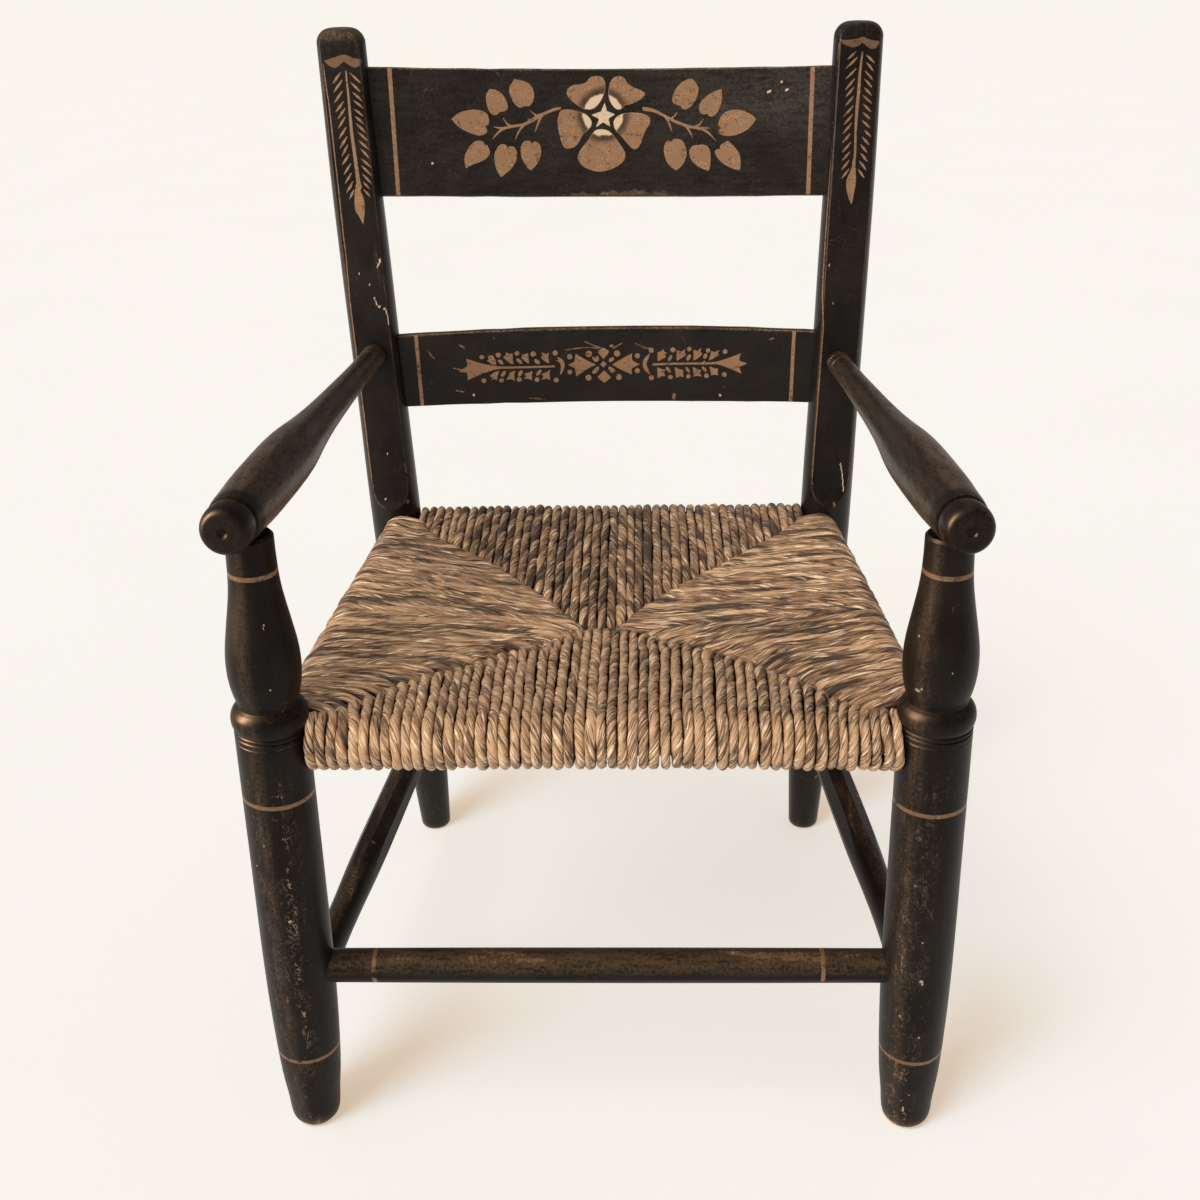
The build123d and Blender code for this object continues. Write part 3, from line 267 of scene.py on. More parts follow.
def make_mesh(name, co, faces, material, attributes=None, uv=None, smooth=True):
    """A mesh object from points in mm and faces (arrays of quads, lists of other polygons)."""
    me = bpy.data.meshes.new(name)
    quads = [f for f in faces if isinstance(f, np.ndarray)]
    quads = np.concatenate(quads) if quads else np.zeros((0, 4), int)
    other = [f for f in faces if not isinstance(f, np.ndarray)]
    loops = list(quads.ravel())
    starts = list(np.arange(len(quads)) * 4)
    at = len(loops)
    for f in other:
        starts.append(at)
        loops.extend(f)
        at += len(f)
    me.vertices.add(len(co))
    me.vertices.foreach_set("co", (np.asarray(co, np.float32) * MM).ravel())
    me.loops.add(len(loops))
    me.loops.foreach_set("vertex_index", np.asarray(loops, np.int32))
    me.polygons.add(len(starts))
    me.polygons.foreach_set("loop_start", np.asarray(starts, np.int32))
    me.update(calc_edges=True)
    me.polygons.foreach_set("use_smooth", np.full(len(starts), smooth, bool))
    for key, values in (attributes or {}).items():
        a = me.attributes.new(key, "FLOAT", "POINT")
        a.data.foreach_set("value", np.asarray(values, np.float32))
    if uv is not None:
        layer = me.uv_layers.new(name="UVMap")
        flat = np.zeros((len(loops), 2), np.float32)
        flat[: len(uv)] = uv
        layer.data.foreach_set("uv", flat.ravel())
    me.validate()
    me.update()
    ob = bpy.data.objects.new(name, me)
    bpy.context.scene.collection.objects.link(ob)
    me.materials.append(material)
    return ob


# ------------------------------------------------------------------ stencil outlines as distances
def curve_points(points, closed, steps=5):
    """The smooth outline through some points. A third value of 1 keeps a corner."""
    p = np.array([q[:2] for q in points], float)
    corner = np.array([len(q) > 2 for q in points])
    n = len(p)
    out = []
    last = n if closed else n - 1
    for i in range(last):
        a, b = p[i], p[(i + 1) % n]
        before = p[i - 1] if (closed or i > 0) else a
        after = p[(i + 2) % n] if (closed or i + 2 < n) else b
        ta = (b - a) if corner[i] or (not closed and i == 0) else (b - before) / 2
        tb = (b - a) if corner[(i + 1) % n] or (not closed and i + 2 >= n) else (after - a) / 2
        for k in range(steps):
            t = k / steps
            h = (2 * t ** 3 - 3 * t ** 2 + 1, t ** 3 - 2 * t ** 2 + t, -2 * t ** 3 + 3 * t ** 2, t ** 3 - t ** 2)
            out.append(h[0] * a + h[1] * ta + h[2] * b + h[3] * tb)
    if not closed:
        out.append(p[-1])
    return np.array(out)


def seg_distance(x, y, a, b):
    d = b - a
    t = np.clip(((x - a[0]) * d[0] + (y - a[1]) * d[1]) / max(d @ d, 1e-9), 0, 1)
    return np.hypot(x - a[0] - t * d[0], y - a[1] - t * d[1]), t


def shape_field(x, y, shapes, far=5.0):
    """Signed distance in mm from each point to the nearest shape, below zero inside."""
    field = np.full(len(x), far)
    for kind, data, extra in shapes:
        if kind == "dot":
            rx, ry, angle = extra
            reach = max(rx, ry) + far
            i = np.nonzero((np.abs(x - data[0]) < reach) & (np.abs(y - data[1]) < reach))[0]
            c, s = math.cos(math.radians(-angle)), math.sin(math.radians(-angle))
            u = (x[i] - data[0]) * c + (y[i] - data[1]) * s
            v = -(x[i] - data[0]) * s + (y[i] - data[1]) * c
            field[i] = np.minimum(field[i], (np.hypot(u / rx, v / ry) - 1) * min(rx, ry))
            continue
        outline = curve_points(data, kind == "loop")
        lo, hi = outline.min(0) - far, outline.max(0) + far
        i = np.nonzero((x > lo[0]) & (x < hi[0]) & (y > lo[1]) & (y < hi[1]))[0]
        if not len(i):
            continue
        px, py = x[i], y[i]
        d = np.full(len(i), 99.0)
        if kind == "loop":
            inside = np.zeros(len(i), bool)
            for a, b in zip(outline, np.roll(outline, -1, 0)):
                d = np.minimum(d, seg_distance(px, py, a, b)[0])
                if a[1] != b[1]:
                    cross = ((a[1] > py) != (b[1] > py)) & (px < (b[0] - a[0]) * (py - a[1]) / (b[1] - a[1]) + a[0])
                    inside ^= cross
            d = np.where(inside, -d, d)
        else:
            w = np.interp(np.linspace(0, len(extra) - 1, len(outline)), range(len(extra)), extra) / 2
            for k in range(len(outline) - 1):
                dist, t = seg_distance(px, py, outline[k], outline[k + 1])
                d = np.minimum(d, dist - (w[k] + t * (w[k + 1] - w[k])))
        field[i] = np.minimum(field[i], d)
    return field


# ------------------------------------------------------------------ shader nodes
class Net:
    """Shader node trees, one short call for each node."""

    def __init__(self, name, **principled):
        self.mat = bpy.data.materials.new(name)
        self.mat.use_nodes = True
        self.t = self.mat.node_tree
        self.t.nodes.clear()
        out = self.t.nodes.new("ShaderNodeOutputMaterial")
        self.bsdf = self.t.nodes.new("ShaderNodeBsdfPrincipled")
        self.t.links.new(self.bsdf.outputs[0], out.inputs[0])
        for key, value in principled.items():
            self.bsdf.inputs[key.replace("_", " ")].default_value = value

    def put(self, socket, value):
        if isinstance(value, bpy.types.NodeSocket):
            self.t.links.new(value, socket)
        elif isinstance(value, (tuple, list)) and socket.type == "RGBA":
            socket.default_value = (*value[:3], 1.0)
        else:
            socket.default_value = value

    def math(self, op, a, b=0.0, c=0.0, clamp=False):
        n = self.t.nodes.new("ShaderNodeMath")
        n.operation = op
        n.use_clamp = clamp
        for s, v in zip(n.inputs, (a, b, c)):
            self.put(s, v)
        return n.outputs[0]

    def add(self, *terms):
        total = terms[0]
        for t in terms[1:]:
            total = self.math("ADD", total, t)
        return total

    def mul(self, *terms):
        total = terms[0]
        for t in terms[1:]:
            total = self.math("MULTIPLY", total, t)
        return total

    def inv(self, a):
        return self.math("SUBTRACT", 1.0, a)

    def most(self, *terms):
        total = terms[0]
        for t in terms[1:]:
            total = self.math("MAXIMUM", total, t)
        return total

    def step(self, x, lo, hi):
        """0 below lo, 1 above hi, smooth between; lo may be above hi."""
        n = self.t.nodes.new("ShaderNodeMapRange")
        n.interpolation_type = "SMOOTHSTEP"
        flip = lo > hi
        self.put(n.inputs["Value"], x)
        n.inputs["From Min"].default_value = min(lo, hi)
        n.inputs["From Max"].default_value = max(lo, hi)
        n.inputs["To Min"].default_value = 1.0 if flip else 0.0
        n.inputs["To Max"].default_value = 0.0 if flip else 1.0
        return n.outputs["Result"]

    def near(self, x, at, half, soft):
        """1 where x lies within half of at."""
        return self.step(self.math("ABSOLUTE", self.math("SUBTRACT", x, at)), half + soft, half - soft)

    def mix(self, f, a, b):
        n = self.t.nodes.new("ShaderNodeMix")
        n.data_type = "RGBA"
        self.put(n.inputs[0], f)
        self.put(n.inputs[6], a)
        self.put(n.inputs[7], b)
        return n.outputs[2]

    def mixf(self, f, a, b):
        n = self.t.nodes.new("ShaderNodeMix")
        n.data_type = "FLOAT"
        self.put(n.inputs[0], f)
        self.put(n.inputs[2], a)
        self.put(n.inputs[3], b)
        return n.outputs[0]

    def coord(self, kind="Object"):
        if not hasattr(self, "_tc"):
            self._tc = self.t.nodes.new("ShaderNodeTexCoord")
        return self._tc.outputs[kind]

    def scaled(self, vec, scale, shift=(0, 0, 0), turn=(0, 0, 0)):
        n = self.t.nodes.new("ShaderNodeMapping")
        self.put(n.inputs["Vector"], vec)
        n.inputs["Location"].default_value = shift
        n.inputs["Rotation"].default_value = turn
        n.inputs["Scale"].default_value = scale
        return n.outputs[0]

    def noise(self, vec, scale, detail=3.0, rough=0.5, distortion=0.0):
        n = self.t.nodes.new("ShaderNodeTexNoise")
        self.put(n.inputs["Vector"], vec)
        n.inputs["Scale"].default_value = scale
        n.inputs["Detail"].default_value = detail
        n.inputs["Roughness"].default_value = rough
        n.inputs["Distortion"].default_value = distortion
        return n.outputs[0]

    def cells(self, vec, scale, feature="F1", randomness=1.0):
        n = self.t.nodes.new("ShaderNodeTexVoronoi")
        n.feature = feature
        self.put(n.inputs["Vector"], vec)
        n.inputs["Scale"].default_value = scale
        n.inputs["Randomness"].default_value = randomness
        return n

    def attr(self, name):
        n = self.t.nodes.new("ShaderNodeAttribute")
        n.attribute_name = name
        return n.outputs["Fac"]

    def xyz(self, vec):
        n = self.t.nodes.new("ShaderNodeSeparateXYZ")
        self.put(n.inputs[0], vec)
        return n.outputs

    def vec(self, x, y, z):
        n = self.t.nodes.new("ShaderNodeCombineXYZ")
        for s, v in zip(n.inputs, (x, y, z)):
            self.put(s, v)
        return n.outputs[0]

    def normal(self):
        n = self.t.nodes.new("ShaderNodeNewGeometry")
        return self.xyz(n.outputs["Normal"])

    def bump(self, height, strength, distance, after=None):
        n = self.t.nodes.new("ShaderNodeBump")
        n.inputs["Strength"].default_value = strength
        n.inputs["Distance"].default_value = distance
        self.put(n.inputs["Height"], height)
        if after is not None:
            self.put(n.inputs["Normal"], after)
        return n.outputs[0]

    def done(self, colour, rough, normal=None, metal=None):
        self.put(self.bsdf.inputs["Base Color"], colour)
        self.put(self.bsdf.inputs["Roughness"], rough)
        if normal is not None:
            self.put(self.bsdf.inputs["Normal"], normal)
        if metal is not None:
            self.put(self.bsdf.inputs["Metallic"], metal)
        return self.mat


# ------------------------------------------------------------------ paint
DARK = (0.0062, 0.0050, 0.0046)
SOOT = (0.0150, 0.0122, 0.0110)
HAZE = (0.070, 0.045, 0.029)
# the brown of the painted highlight on the legs, and of the polish and painted highlight on the front stretcher
HIGHLIGHT_BROWN = (0.170, 0.110, 0.068)
RUBBED = (0.105, 0.064, 0.037)
WOOD = (0.205, 0.118, 0.064)
PALE_WOOD = (0.46, 0.32, 0.20)
GOLD = (0.300, 0.170, 0.094)
GOLD_DARK = (0.130, 0.075, 0.044)
GOLD_LIGHT = (0.52, 0.34, 0.21)
CREAM = (0.70, 0.54, 0.38)


def paint(name, wear=None, gold=None, grain=(1, 1, 0.12), seed=0.0, flower=False, chips=1.0, dull=None, overlay=None,
          flake=None, pale=None, gloss=0.12, tint=(1.0, 0.82, 0.70, 1), overlay_colour=HIGHLIGHT_BROWN):
    """Old black paint over brown wood. wear(n) gives 0-1 how rubbed a place is, on the legs, the arms and the slats'
    top edges partly a painted highlight too; gold(n) where the bronze stripes or stencils lie (0-1 mask)."""
    n = Net(name, Specular_IOR_Level=gloss, Specular_Tint=tint)
    P = n.scaled(n.coord(), (1, 1, 1), shift=(seed, seed * 0.37, -seed * 0.71))
    broad = n.noise(P, 26, 3, 0.6)
    fine = n.noise(P, 520, 4, 0.65)
    streak = n.noise(n.scaled(P, grain), 330, 4, 0.6)
    tone = n.add(n.mul(broad, 0.55), n.mul(fine, 0.20), n.mul(streak, 0.25))
    colour = n.mix(n.step(tone, 0.38, 0.64), DARK, SOOT)
    # thin rubbed places, where brown shows through; on the legs' lit flanks, the arms and the slats' top edges this
    # brown is partly a painted highlight
    rub_and_highlight = wear(n) if wear else 0.0
    haze = n.add(rub_and_highlight, n.mul(n.math("SUBTRACT", fine, 0.5), 0.8), n.mul(n.math("SUBTRACT", streak, 0.5), 0.5))
    colour = n.mix(n.step(haze, 0.22, 0.95), colour, HAZE)
    if overlay:
        # a mottled colour laid over the paint by a mask: on the legs a painted brown highlight where the light falls,
        # on the arms and the front stretcher polish together with a painted highlight, on the crest a pale grey mottle
        mottle = n.step(n.add(n.mul(fine, 0.62), n.mul(streak, 0.38)), 0.40, 0.58)
        colour = n.mix(n.mul(overlay(n), n.mixf(mottle, 0.22, 1.0)), colour, overlay_colour)
    rubbed = n.step(n.add(rub_and_highlight, n.mul(n.math("SUBTRACT", fine, 0.5), 1.2), n.mul(n.math("SUBTRACT", broad, 0.5), 0.8),
                          n.mul(n.math("SUBTRACT", streak, 0.5), 0.9)), 0.52, 1.10)
    colour = n.mix(rubbed, colour, RUBBED)
    bare = n.step(n.add(rub_and_highlight, n.mul(n.math("SUBTRACT", fine, 0.5), 1.1), n.mul(n.math("SUBTRACT", streak, 0.5), 0.9)),
                  0.86, 0.98)
    colour = n.mix(bare, colour, n.mix(streak, WOOD, GOLD))
    # hair scratches
    lines = n.math("ABSOLUTE", n.math("SUBTRACT", n.noise(n.scaled(P, (1, 1, 0.55)), 46, 2, 0.5, 1.6), 0.5))
    where = n.step(n.noise(P, 31, 2, 0.5), 0.55, 0.62)
    scratch = n.mul(n.step(lines, 0.0045, 0.0015), where, n.step(fine, 0.40, 0.55))
    colour = n.mix(n.mul(scratch, 0.75), colour, RUBBED)
    # small chips
    cell = n.cells(n.scaled(P, (1, 1, 0.6)), 88)
    pick = n.step(n.xyz(cell.outputs["Color"])[0], 0.93, 0.94)
    size = n.mul(n.xyz(cell.outputs["Color"])[1], 0.05)
    near = n.add(cell.outputs["Distance"], n.mul(n.math("SUBTRACT", fine, 0.5), 0.35))
    chip = n.mul(pick, n.step(n.math("SUBTRACT", near, size), 0.085, 0.06), chips)
    colour = n.mix(chip, colour, n.mix(n.step(broad, 0.5, 0.6), WOOD, PALE_WOOD))
    if flake:
        # crazed and flaked paint: a web of fine ragged lines and pits, brown to pale
        web = n.noise(n.scaled(P, (1, 1, 0.55)), 120, 4, 0.66, 2.2)
        web = n.step(n.math("ABSOLUTE", n.math("SUBTRACT", web, 0.5)), 0.026, 0.012)
        pits = n.step(n.noise(n.scaled(P, (1, 1, 0.7)), 300, 3, 0.6), 0.635, 0.665)
        patch = n.step(n.noise(n.scaled(P, (1, 1, 0.6)), 62, 3, 0.6), 0.45, 0.53)
        torn = n.mul(flake(n), n.most(n.mul(web, patch), pits), n.step(fine, 0.32, 0.44))
        colour = n.mix(n.mul(torn, 0.95), colour, n.mix(n.step(streak, 0.45, 0.58), (0.17, 0.108, 0.064),
                                                         (0.50, 0.34, 0.215)))
    if pale:
        colour = n.mix(n.mul(pale(n), n.step(fine, 0.30, 0.42)), colour, (0.60, 0.45, 0.31))
    satin = 0.07 if gloss < 0.15 else 0.0
    rough = n.mixf(n.step(tone, 0.35, 0.7), 0.29 + satin, 0.40 + satin)
    rough = n.mixf(n.most(rubbed, bare, chip), rough, 0.55)
    height = n.add(n.mul(streak, 0.5), n.mul(fine, 0.25), n.mul(n.most(bare, chip), -0.8), n.mul(scratch, -0.4))
    metal = None
    if gold:
        mask = gold(n)
        worn = n.step(n.add(n.mul(fine, 0.55), n.mul(broad, 0.45)), 0.34, 0.43)
        mask = n.mul(mask, n.mixf(worn, 0.30, 1.0))
        dots = n.cells(P, 640, randomness=0.55)
        stipple = n.step(dots.outputs["Distance"], 0.42, 0.22)
        patch = n.step(n.noise(P, 95, 2, 0.5), 0.40, 0.60)
        leaf = n.mix(n.step(n.add(n.mul(fine, 0.6), n.mul(n.noise(P, 170, 2, 0.5), 0.4)), 0.47, 0.36), GOLD, GOLD_DARK)
        leaf = n.mix(n.mul(stipple, patch, 0.62), leaf, GOLD_LIGHT)
        if flower:
            # the petals are pale by the star, then a dark ring, then stippled bronze
            away = n.add(n.attr("flower"), n.mul(n.math("SUBTRACT", n.noise(P, 210, 2, 0.5), 0.5), 3.0))
            ring = n.mul(n.step(away, 14.2, 15.4), n.step(away, 21.5, 16.8))
            leaf = n.mix(n.mul(ring, 0.80), leaf, (0.030, 0.022, 0.016))
            leaf = n.mix(n.step(away, 15.2, 13.8), leaf, CREAM)
            edge = n.mul(n.step(n.attr("gold"), -0.55, -0.25), n.step(away, 22.0, 12.0))
            leaf = n.mix(n.mul(edge, 0.8), leaf, GOLD_LIGHT)
            leaf = n.mix(n.step(n.attr("star"), 0.15, -0.15), leaf, n.mix(stipple, CREAM, GOLD_LIGHT))
        if dull:
            leaf = n.mix(n.mul(dull(n), 0.62), leaf, (0.075, 0.045, 0.028))
        colour = n.mix(mask, colour, leaf)
        rough = n.mixf(mask, rough, 0.46)
        height = n.add(height, n.mul(mask, 0.5))
        metal = n.mul(mask, 0.18)
    bump = n.bump(height, 0.22, 0.00030)
    return n.done(colour, rough, bump, metal)


def stencil_mask(n):
    """Where a stencil lies, from the distance kept on the mesh, with a slightly soft, uneven edge."""
    P = n.coord()
    rough = n.mul(n.math("SUBTRACT", n.noise(P, 900, 3, 0.6), 0.5), 0.55)
    return n.step(n.add(n.attr("gold"), rough), 0.16, -0.16)


def attribute_wear(n):
    return n.attr("wear")


def chip_mask(n):
    return n.step(n.attr("chip"), 0.35, 0.65)


def band_mask(side, heights, half=0.00135):
    """Thin bronze bands square to a front leg's axis."""
    lean = 0.0188 * side

    def mask(n):
        x, y, z = n.xyz(n.coord())
        along = n.math("SUBTRACT", z, n.mul(x, lean))
        wave = n.mul(n.math("SUBTRACT", n.noise(n.coord(), 40, 2, 0.5), 0.5), 0.0009)
        total = 0.0
        for h in heights:
            axis_x = side * (0.197 - 0.0188 * h)
            band = n.near(n.add(along, wave), h - axis_x * lean, half, 0.00022)
            total = n.most(total, band)
        # the bands are worn through here and there
        worn = n.step(n.noise(n.coord(), 75, 3, 0.6), 0.30, 0.42)
        return n.mul(total, worn)
    return mask


def leg_wear_and_highlight(side):
    def wear(n):
        x, y, z = n.xyz(n.coord())
        nx, ny, nz = n.normal()
        ring = n.mul(n.near(z, 0.3118, 0.0030, 0.0030), 0.26)
        edges = n.mul(n.most(n.near(z, 0.2988, 0.0004, 0.0004), n.mul(n.near(z, 0.3034, 0.0003, 0.0003), 0.4)), 0.66)
        foot = n.mul(n.step(z, 0.016, 0.002), 0.75)
        # the left front flank of each leg, turned to the light, gets a painted highlight in the rubbed brown; long
        # vertical rubbed patches come and go all round
        flank = n.mul(n.step(n.add(n.mul(nx, -0.80), n.mul(ny, -0.60)), 0.60, 0.98), 0.22)
        up = n.mul(n.step(nz, 0.25, 0.8), 0.30)
        tall = n.mul(n.step(n.noise(n.scaled(n.coord(), (1, 1, 0.16)), 70, 3, 0.6), 0.50, 0.72), 0.26)
        return n.add(n.most(ring, edges, foot, up), flank, tall)
    return wear


def leg_painted_highlight(side):
    """A painted highlight: the soft brown sheen down the left front of each leg, where the light falls."""
    def overlay(n):
        nx, ny, nz = n.normal()
        front = n.step(ny, 0.0, -0.35)
        return n.mul(n.near(nx, -0.30 if side < 0 else -0.62, 0.10, 0.26), front, 0.54)
    return overlay


def leg_flake(side):
    def flake(n):
        x, y, z = n.xyz(n.coord())
        nx, ny, nz = n.normal()
        front = n.step(ny, 0.0, -0.3)
        if side < 0:
            a = n.mul(n.near(nx, 0.22, 0.10, 0.12), n.step(z, 0.045, 0.080), n.step(z, 0.285, 0.262))
            b = n.mul(n.near(nx, -0.47, 0.08, 0.12), n.step(z, 0.055, 0.075), n.step(z, 0.145, 0.125))
            c = n.mul(n.near(nx, -0.10, 0.6, 0.3), n.step(z, 0.290, 0.270), 0.24)
        else:
            a = n.mul(n.near(nx, -0.66, 0.14, 0.16), n.step(z, 0.210, 0.160), 0.80)
            b = n.mul(n.near(nx, -0.28, 0.26, 0.16), n.step(z, 0.062, 0.050))
            c = n.mul(n.near(nx, -0.40, 0.5, 0.3), n.step(z, 0.290, 0.270), 0.25)
        return n.mul(n.most(a, b, c), front)
    return flake


LEG_CHIPS = {
    -1: [(0.42, 0.3772, 0.022, 0.0006), (0.39, 0.3755, 0.012, 0.0011), (0.36, 0.3385, 0.024, 0.0005), (0.16, 0.1780, 0.055, 0.0009),
         (-0.32, 0.2330, 0.020, 0.0005), (-0.66, 0.2160, 0.022, 0.0005)],
    1: [(-0.71, 0.3335, 0.060, 0.0011), (-0.62, 0.3355, 0.030, 0.0010), (-0.80, 0.3660, 0.030, 0.0006),
        (0.11, 0.3480, 0.016, 0.0006), (-0.05, 0.1320, 0.055, 0.0010), (-0.02, 0.1300, 0.03, 0.0012),
        (-0.10, 0.1620, 0.025, 0.0007), (0.02, 0.0860, 0.04, 0.0007), (-0.30, 0.0200, 0.04, 0.0026),
        (-0.55, 0.1010, 0.03, 0.0006), (-0.42, 0.2030, 0.025, 0.0006)],
}


def leg_chips(side):
    """Single chips knocked out of the paint: (sideways part of the normal, height, half width, half height)."""
    def pale(n):
        x, y, z = n.xyz(n.coord())
        nx, ny, nz = n.normal()
        rag = n.mul(n.math("SUBTRACT", n.noise(n.coord(), 640, 3, 0.6), 0.5), 1.1)
        total = 0.0
        for cx, cz, half, high in LEG_CHIPS[side]:
            a = n.mul(n.math("SUBTRACT", nx, cx), 1.0 / half)
            b = n.mul(n.math("SUBTRACT", z, cz), 1.0 / high)
            r = n.add(n.mul(a, a), n.mul(b, b), rag)
            total = n.most(total, n.step(r, 1.15, 0.85))
        return n.mul(total, n.step(ny, 0.1, -0.1))
    return pale


def arm_polish_and_highlight(side):
    def overlay(n):
        x, y, z = n.xyz(n.coord())
        nx, ny, nz = n.normal()
        # polished brown on the outer top; on the left arm, which faces the light, it is partly a painted highlight
        outer = n.step(n.add(n.mul(nx, 0.76 * side), n.mul(nz, 0.60)), -0.05, 0.75)
        # a painted reflection: a brown line along the inner lower edge
        inner = n.mul(n.step(n.add(n.mul(nx, -0.90 * side), n.mul(nz, -0.10)), 0.60, 0.95), 0.70)
        body = n.mixf(n.step(y, -0.200, -0.192), 0.12, 1.0)
        hand = n.mixf(n.step(y, 0.13, -0.12), 0.72, 1.0)
        return n.mul(n.most(n.mul(outer, hand, 0.92 if side > 0 else 0.80), inner, 0.26), body)
    return overlay


def bar_wear_and_highlight(n):
    # brown over the upper front of the front stretcher: rubbed paint, and a painted highlight where the light falls
    nx, ny, nz = n.normal()
    return n.mul(n.step(n.add(n.mul(nz, 0.78), n.mul(ny, -0.55)), 0.45, 0.97), 0.62)


def arm_wear_and_highlight(side):
    def wear(n):
        x, y, z = n.xyz(n.coord())
        nx, ny, nz = n.normal()
        # rubbed on the outer top; on the left arm this side faces the light and the brown is partly a painted highlight
        outer = n.step(n.add(n.mul(nx, 0.55 * side - 0.2), n.mul(nz, 0.75)), 0.20, 0.95)
        hand = n.mul(n.step(y, 0.10, -0.14), n.step(y, -0.200, -0.190))
        groove = n.mul(n.most(n.near(y, -0.2045, 0.0007, 0.0006), n.near(y, -0.2078, 0.0006, 0.0005)), 0.6)
        back = n.mul(n.step(y, 0.13, 0.15), 0.12)
        rings = n.mul(n.most(n.near(y, 0.1290, 0.0005, 0.0005), n.near(y, 0.1318, 0.0005, 0.0005),
                             n.near(y, 0.1415, 0.0005, 0.0005)), 0.55)
        return n.add(n.mul(outer, n.mixf(hand, 0.50, 0.62) if side > 0 else n.mixf(hand, 0.40, 0.50)),
                     n.mul(groove, n.step(outer, 0.0, 0.3)), back, rings)
    return wear


def stretcher_wear(n):
    nx, ny, nz = n.normal()
    top = n.step(n.add(n.mul(nz, 0.85), n.mul(ny, -0.30)), 0.45, 0.98)
    patch = n.step(n.noise(n.scaled(n.coord(), (0.35, 1, 1)), 60, 3, 0.6), 0.36, 0.66)
    return n.add(n.mul(top, n.mixf(patch, 0.46, 0.98)), 0.05)


def stretcher_bands(n):
    x, y, z = n.xyz(n.coord())
    both = n.most(n.near(x, -0.1455, 0.0013, 0.0003), n.near(x, 0.1352, 0.0013, 0.0003))
    return n.mul(both, n.step(n.noise(n.coord(), 160, 3, 0.6), 0.38, 0.50))


def side_wear(n):
    nx, ny, nz = n.normal()
    top = n.step(nz, 0.72, 0.97)
    patch = n.step(n.noise(n.scaled(n.coord(), (1, 0.25, 1)), 60, 3, 0.6), 0.34, 0.64)
    return n.mul(top, n.mixf(patch, 0.30, 0.80))


def plain_wear(n):
    return n.mul(n.step(n.noise(n.coord(), 34, 3, 0.6), 0.52, 0.75), 0.35)


def paint_cad():
    nodes = frame["nodes"]

    def give(node, material):
        o = nodes[node]
        o.data.materials.clear()
        o.data.materials.append(material)

    for side, word in ((-1, "left"), (1, "right")):
        heights = (0.4037, 0.2601, 0.063) if side < 0 else (0.4015, 0.2535, 0.063)
        give(f"front_leg_{word}", paint(f"paint_leg_{word}", leg_wear_and_highlight(side), band_mask(side, heights), seed=0.3 * side,
                                        overlay=leg_painted_highlight(side), flake=leg_flake(side), pale=leg_chips(side),
                                        dull=lambda n: 0.30))
        give(f"arm_{word}", paint(f"paint_arm_{word}", arm_wear_and_highlight(side), None, grain=(1, 0.14, 1), seed=1.1 * side,
                                  overlay=arm_polish_and_highlight(side), overlay_colour=(0.235, 0.153, 0.099)))
        give(f"side_stretcher_{word}", paint(f"paint_side_{word}", side_wear, None, grain=(1, 0.12, 1), seed=2.2 * side))
    give("front_stretcher", paint("paint_front_stretcher", stretcher_wear, stretcher_bands, grain=(0.12, 1, 1), overlay=bar_wear_and_highlight))
    give("rear_stretcher", paint("paint_rear_stretcher", plain_wear, None, grain=(0.12, 1, 1), seed=4.0))

    # bare rails inside the rush, and the stuffing: straw-like fibres, made dark as painted shade for the inside of the
    # seat
    for node, long_axis in (("seat_rail_front", 0), ("seat_rail_rear", 0), ("seat_rail_left", 1), ("seat_rail_right", 1)):
        n = Net("wood_" + node, Specular_IOR_Level=0.3)
        s = [1, 1, 1]
        s[long_axis] = 0.05
        g = n.noise(n.scaled(n.coord(), s), 420, 5, 0.6, 0.4)
        b = n.noise(n.coord(), 30, 2, 0.5)
        c = n.mix(n.step(n.add(n.mul(g, 0.8), n.mul(b, 0.2)), 0.35, 0.65), (0.16, 0.09, 0.045), (0.36, 0.23, 0.12))
        give(node, n.done(c, n.mixf(g, 0.55, 0.75), n.bump(g, 0.4, 0.0004)))
    n = Net("dry_rush", Specular_IOR_Level=0.2)
    f = n.noise(n.scaled(n.coord(), (0.2, 1, 1), turn=(0.3, 0.5, 0.7)), 640, 5, 0.65, 0.8)
    g = n.noise(n.scaled(n.coord(), (1, 0.2, 1), turn=(0.6, 0.1, 0.4)), 560, 5, 0.65, 0.8)
    m = n.math("MAXIMUM", f, g)
    c = n.mix(n.step(m, 0.45, 0.75), (0.035, 0.022, 0.012), (0.17, 0.10, 0.052))
    shaded_stuffing = n.done(c, 0.85, n.bump(m, 0.9, 0.0016))
    give("seat_stuffing", shaded_stuffing)
    return shaded_stuffing


# ------------------------------------------------------------------ slats
POST = [(0.0, 161.0, 332.8, 12.2), (54.0, 162.4, 332.8, 15.0), (108.0, 163.8, 332.8, 16.6), (162.0, 165.2, 332.8, 17.8),
        (216.0, 166.7, 332.8, 18.6), (270.0, 168.1, 332.9, 19.1), (324.0, 169.9, 335.8, 19.1),
        (378.0, 172.4, 343.3, 18.7), (432.0, 175.1, 351.3, 18.5), (486.0, 177.6, 359.3, 18.5),
        (540.0, 180.3, 368.4, 18.3), (594.0, 183.3, 381.2, 17.8), (648.0, 186.3, 395.4, 17.5)]
FACE = [(300, 21.0), (306, 18.9), (311, 15.9), (318, 13.4), (330, 12.4), (360, 12.2), (420, 12.2), (480, 12.0),
        (530, 11.6), (590, 10.8), (660, 10.2)]


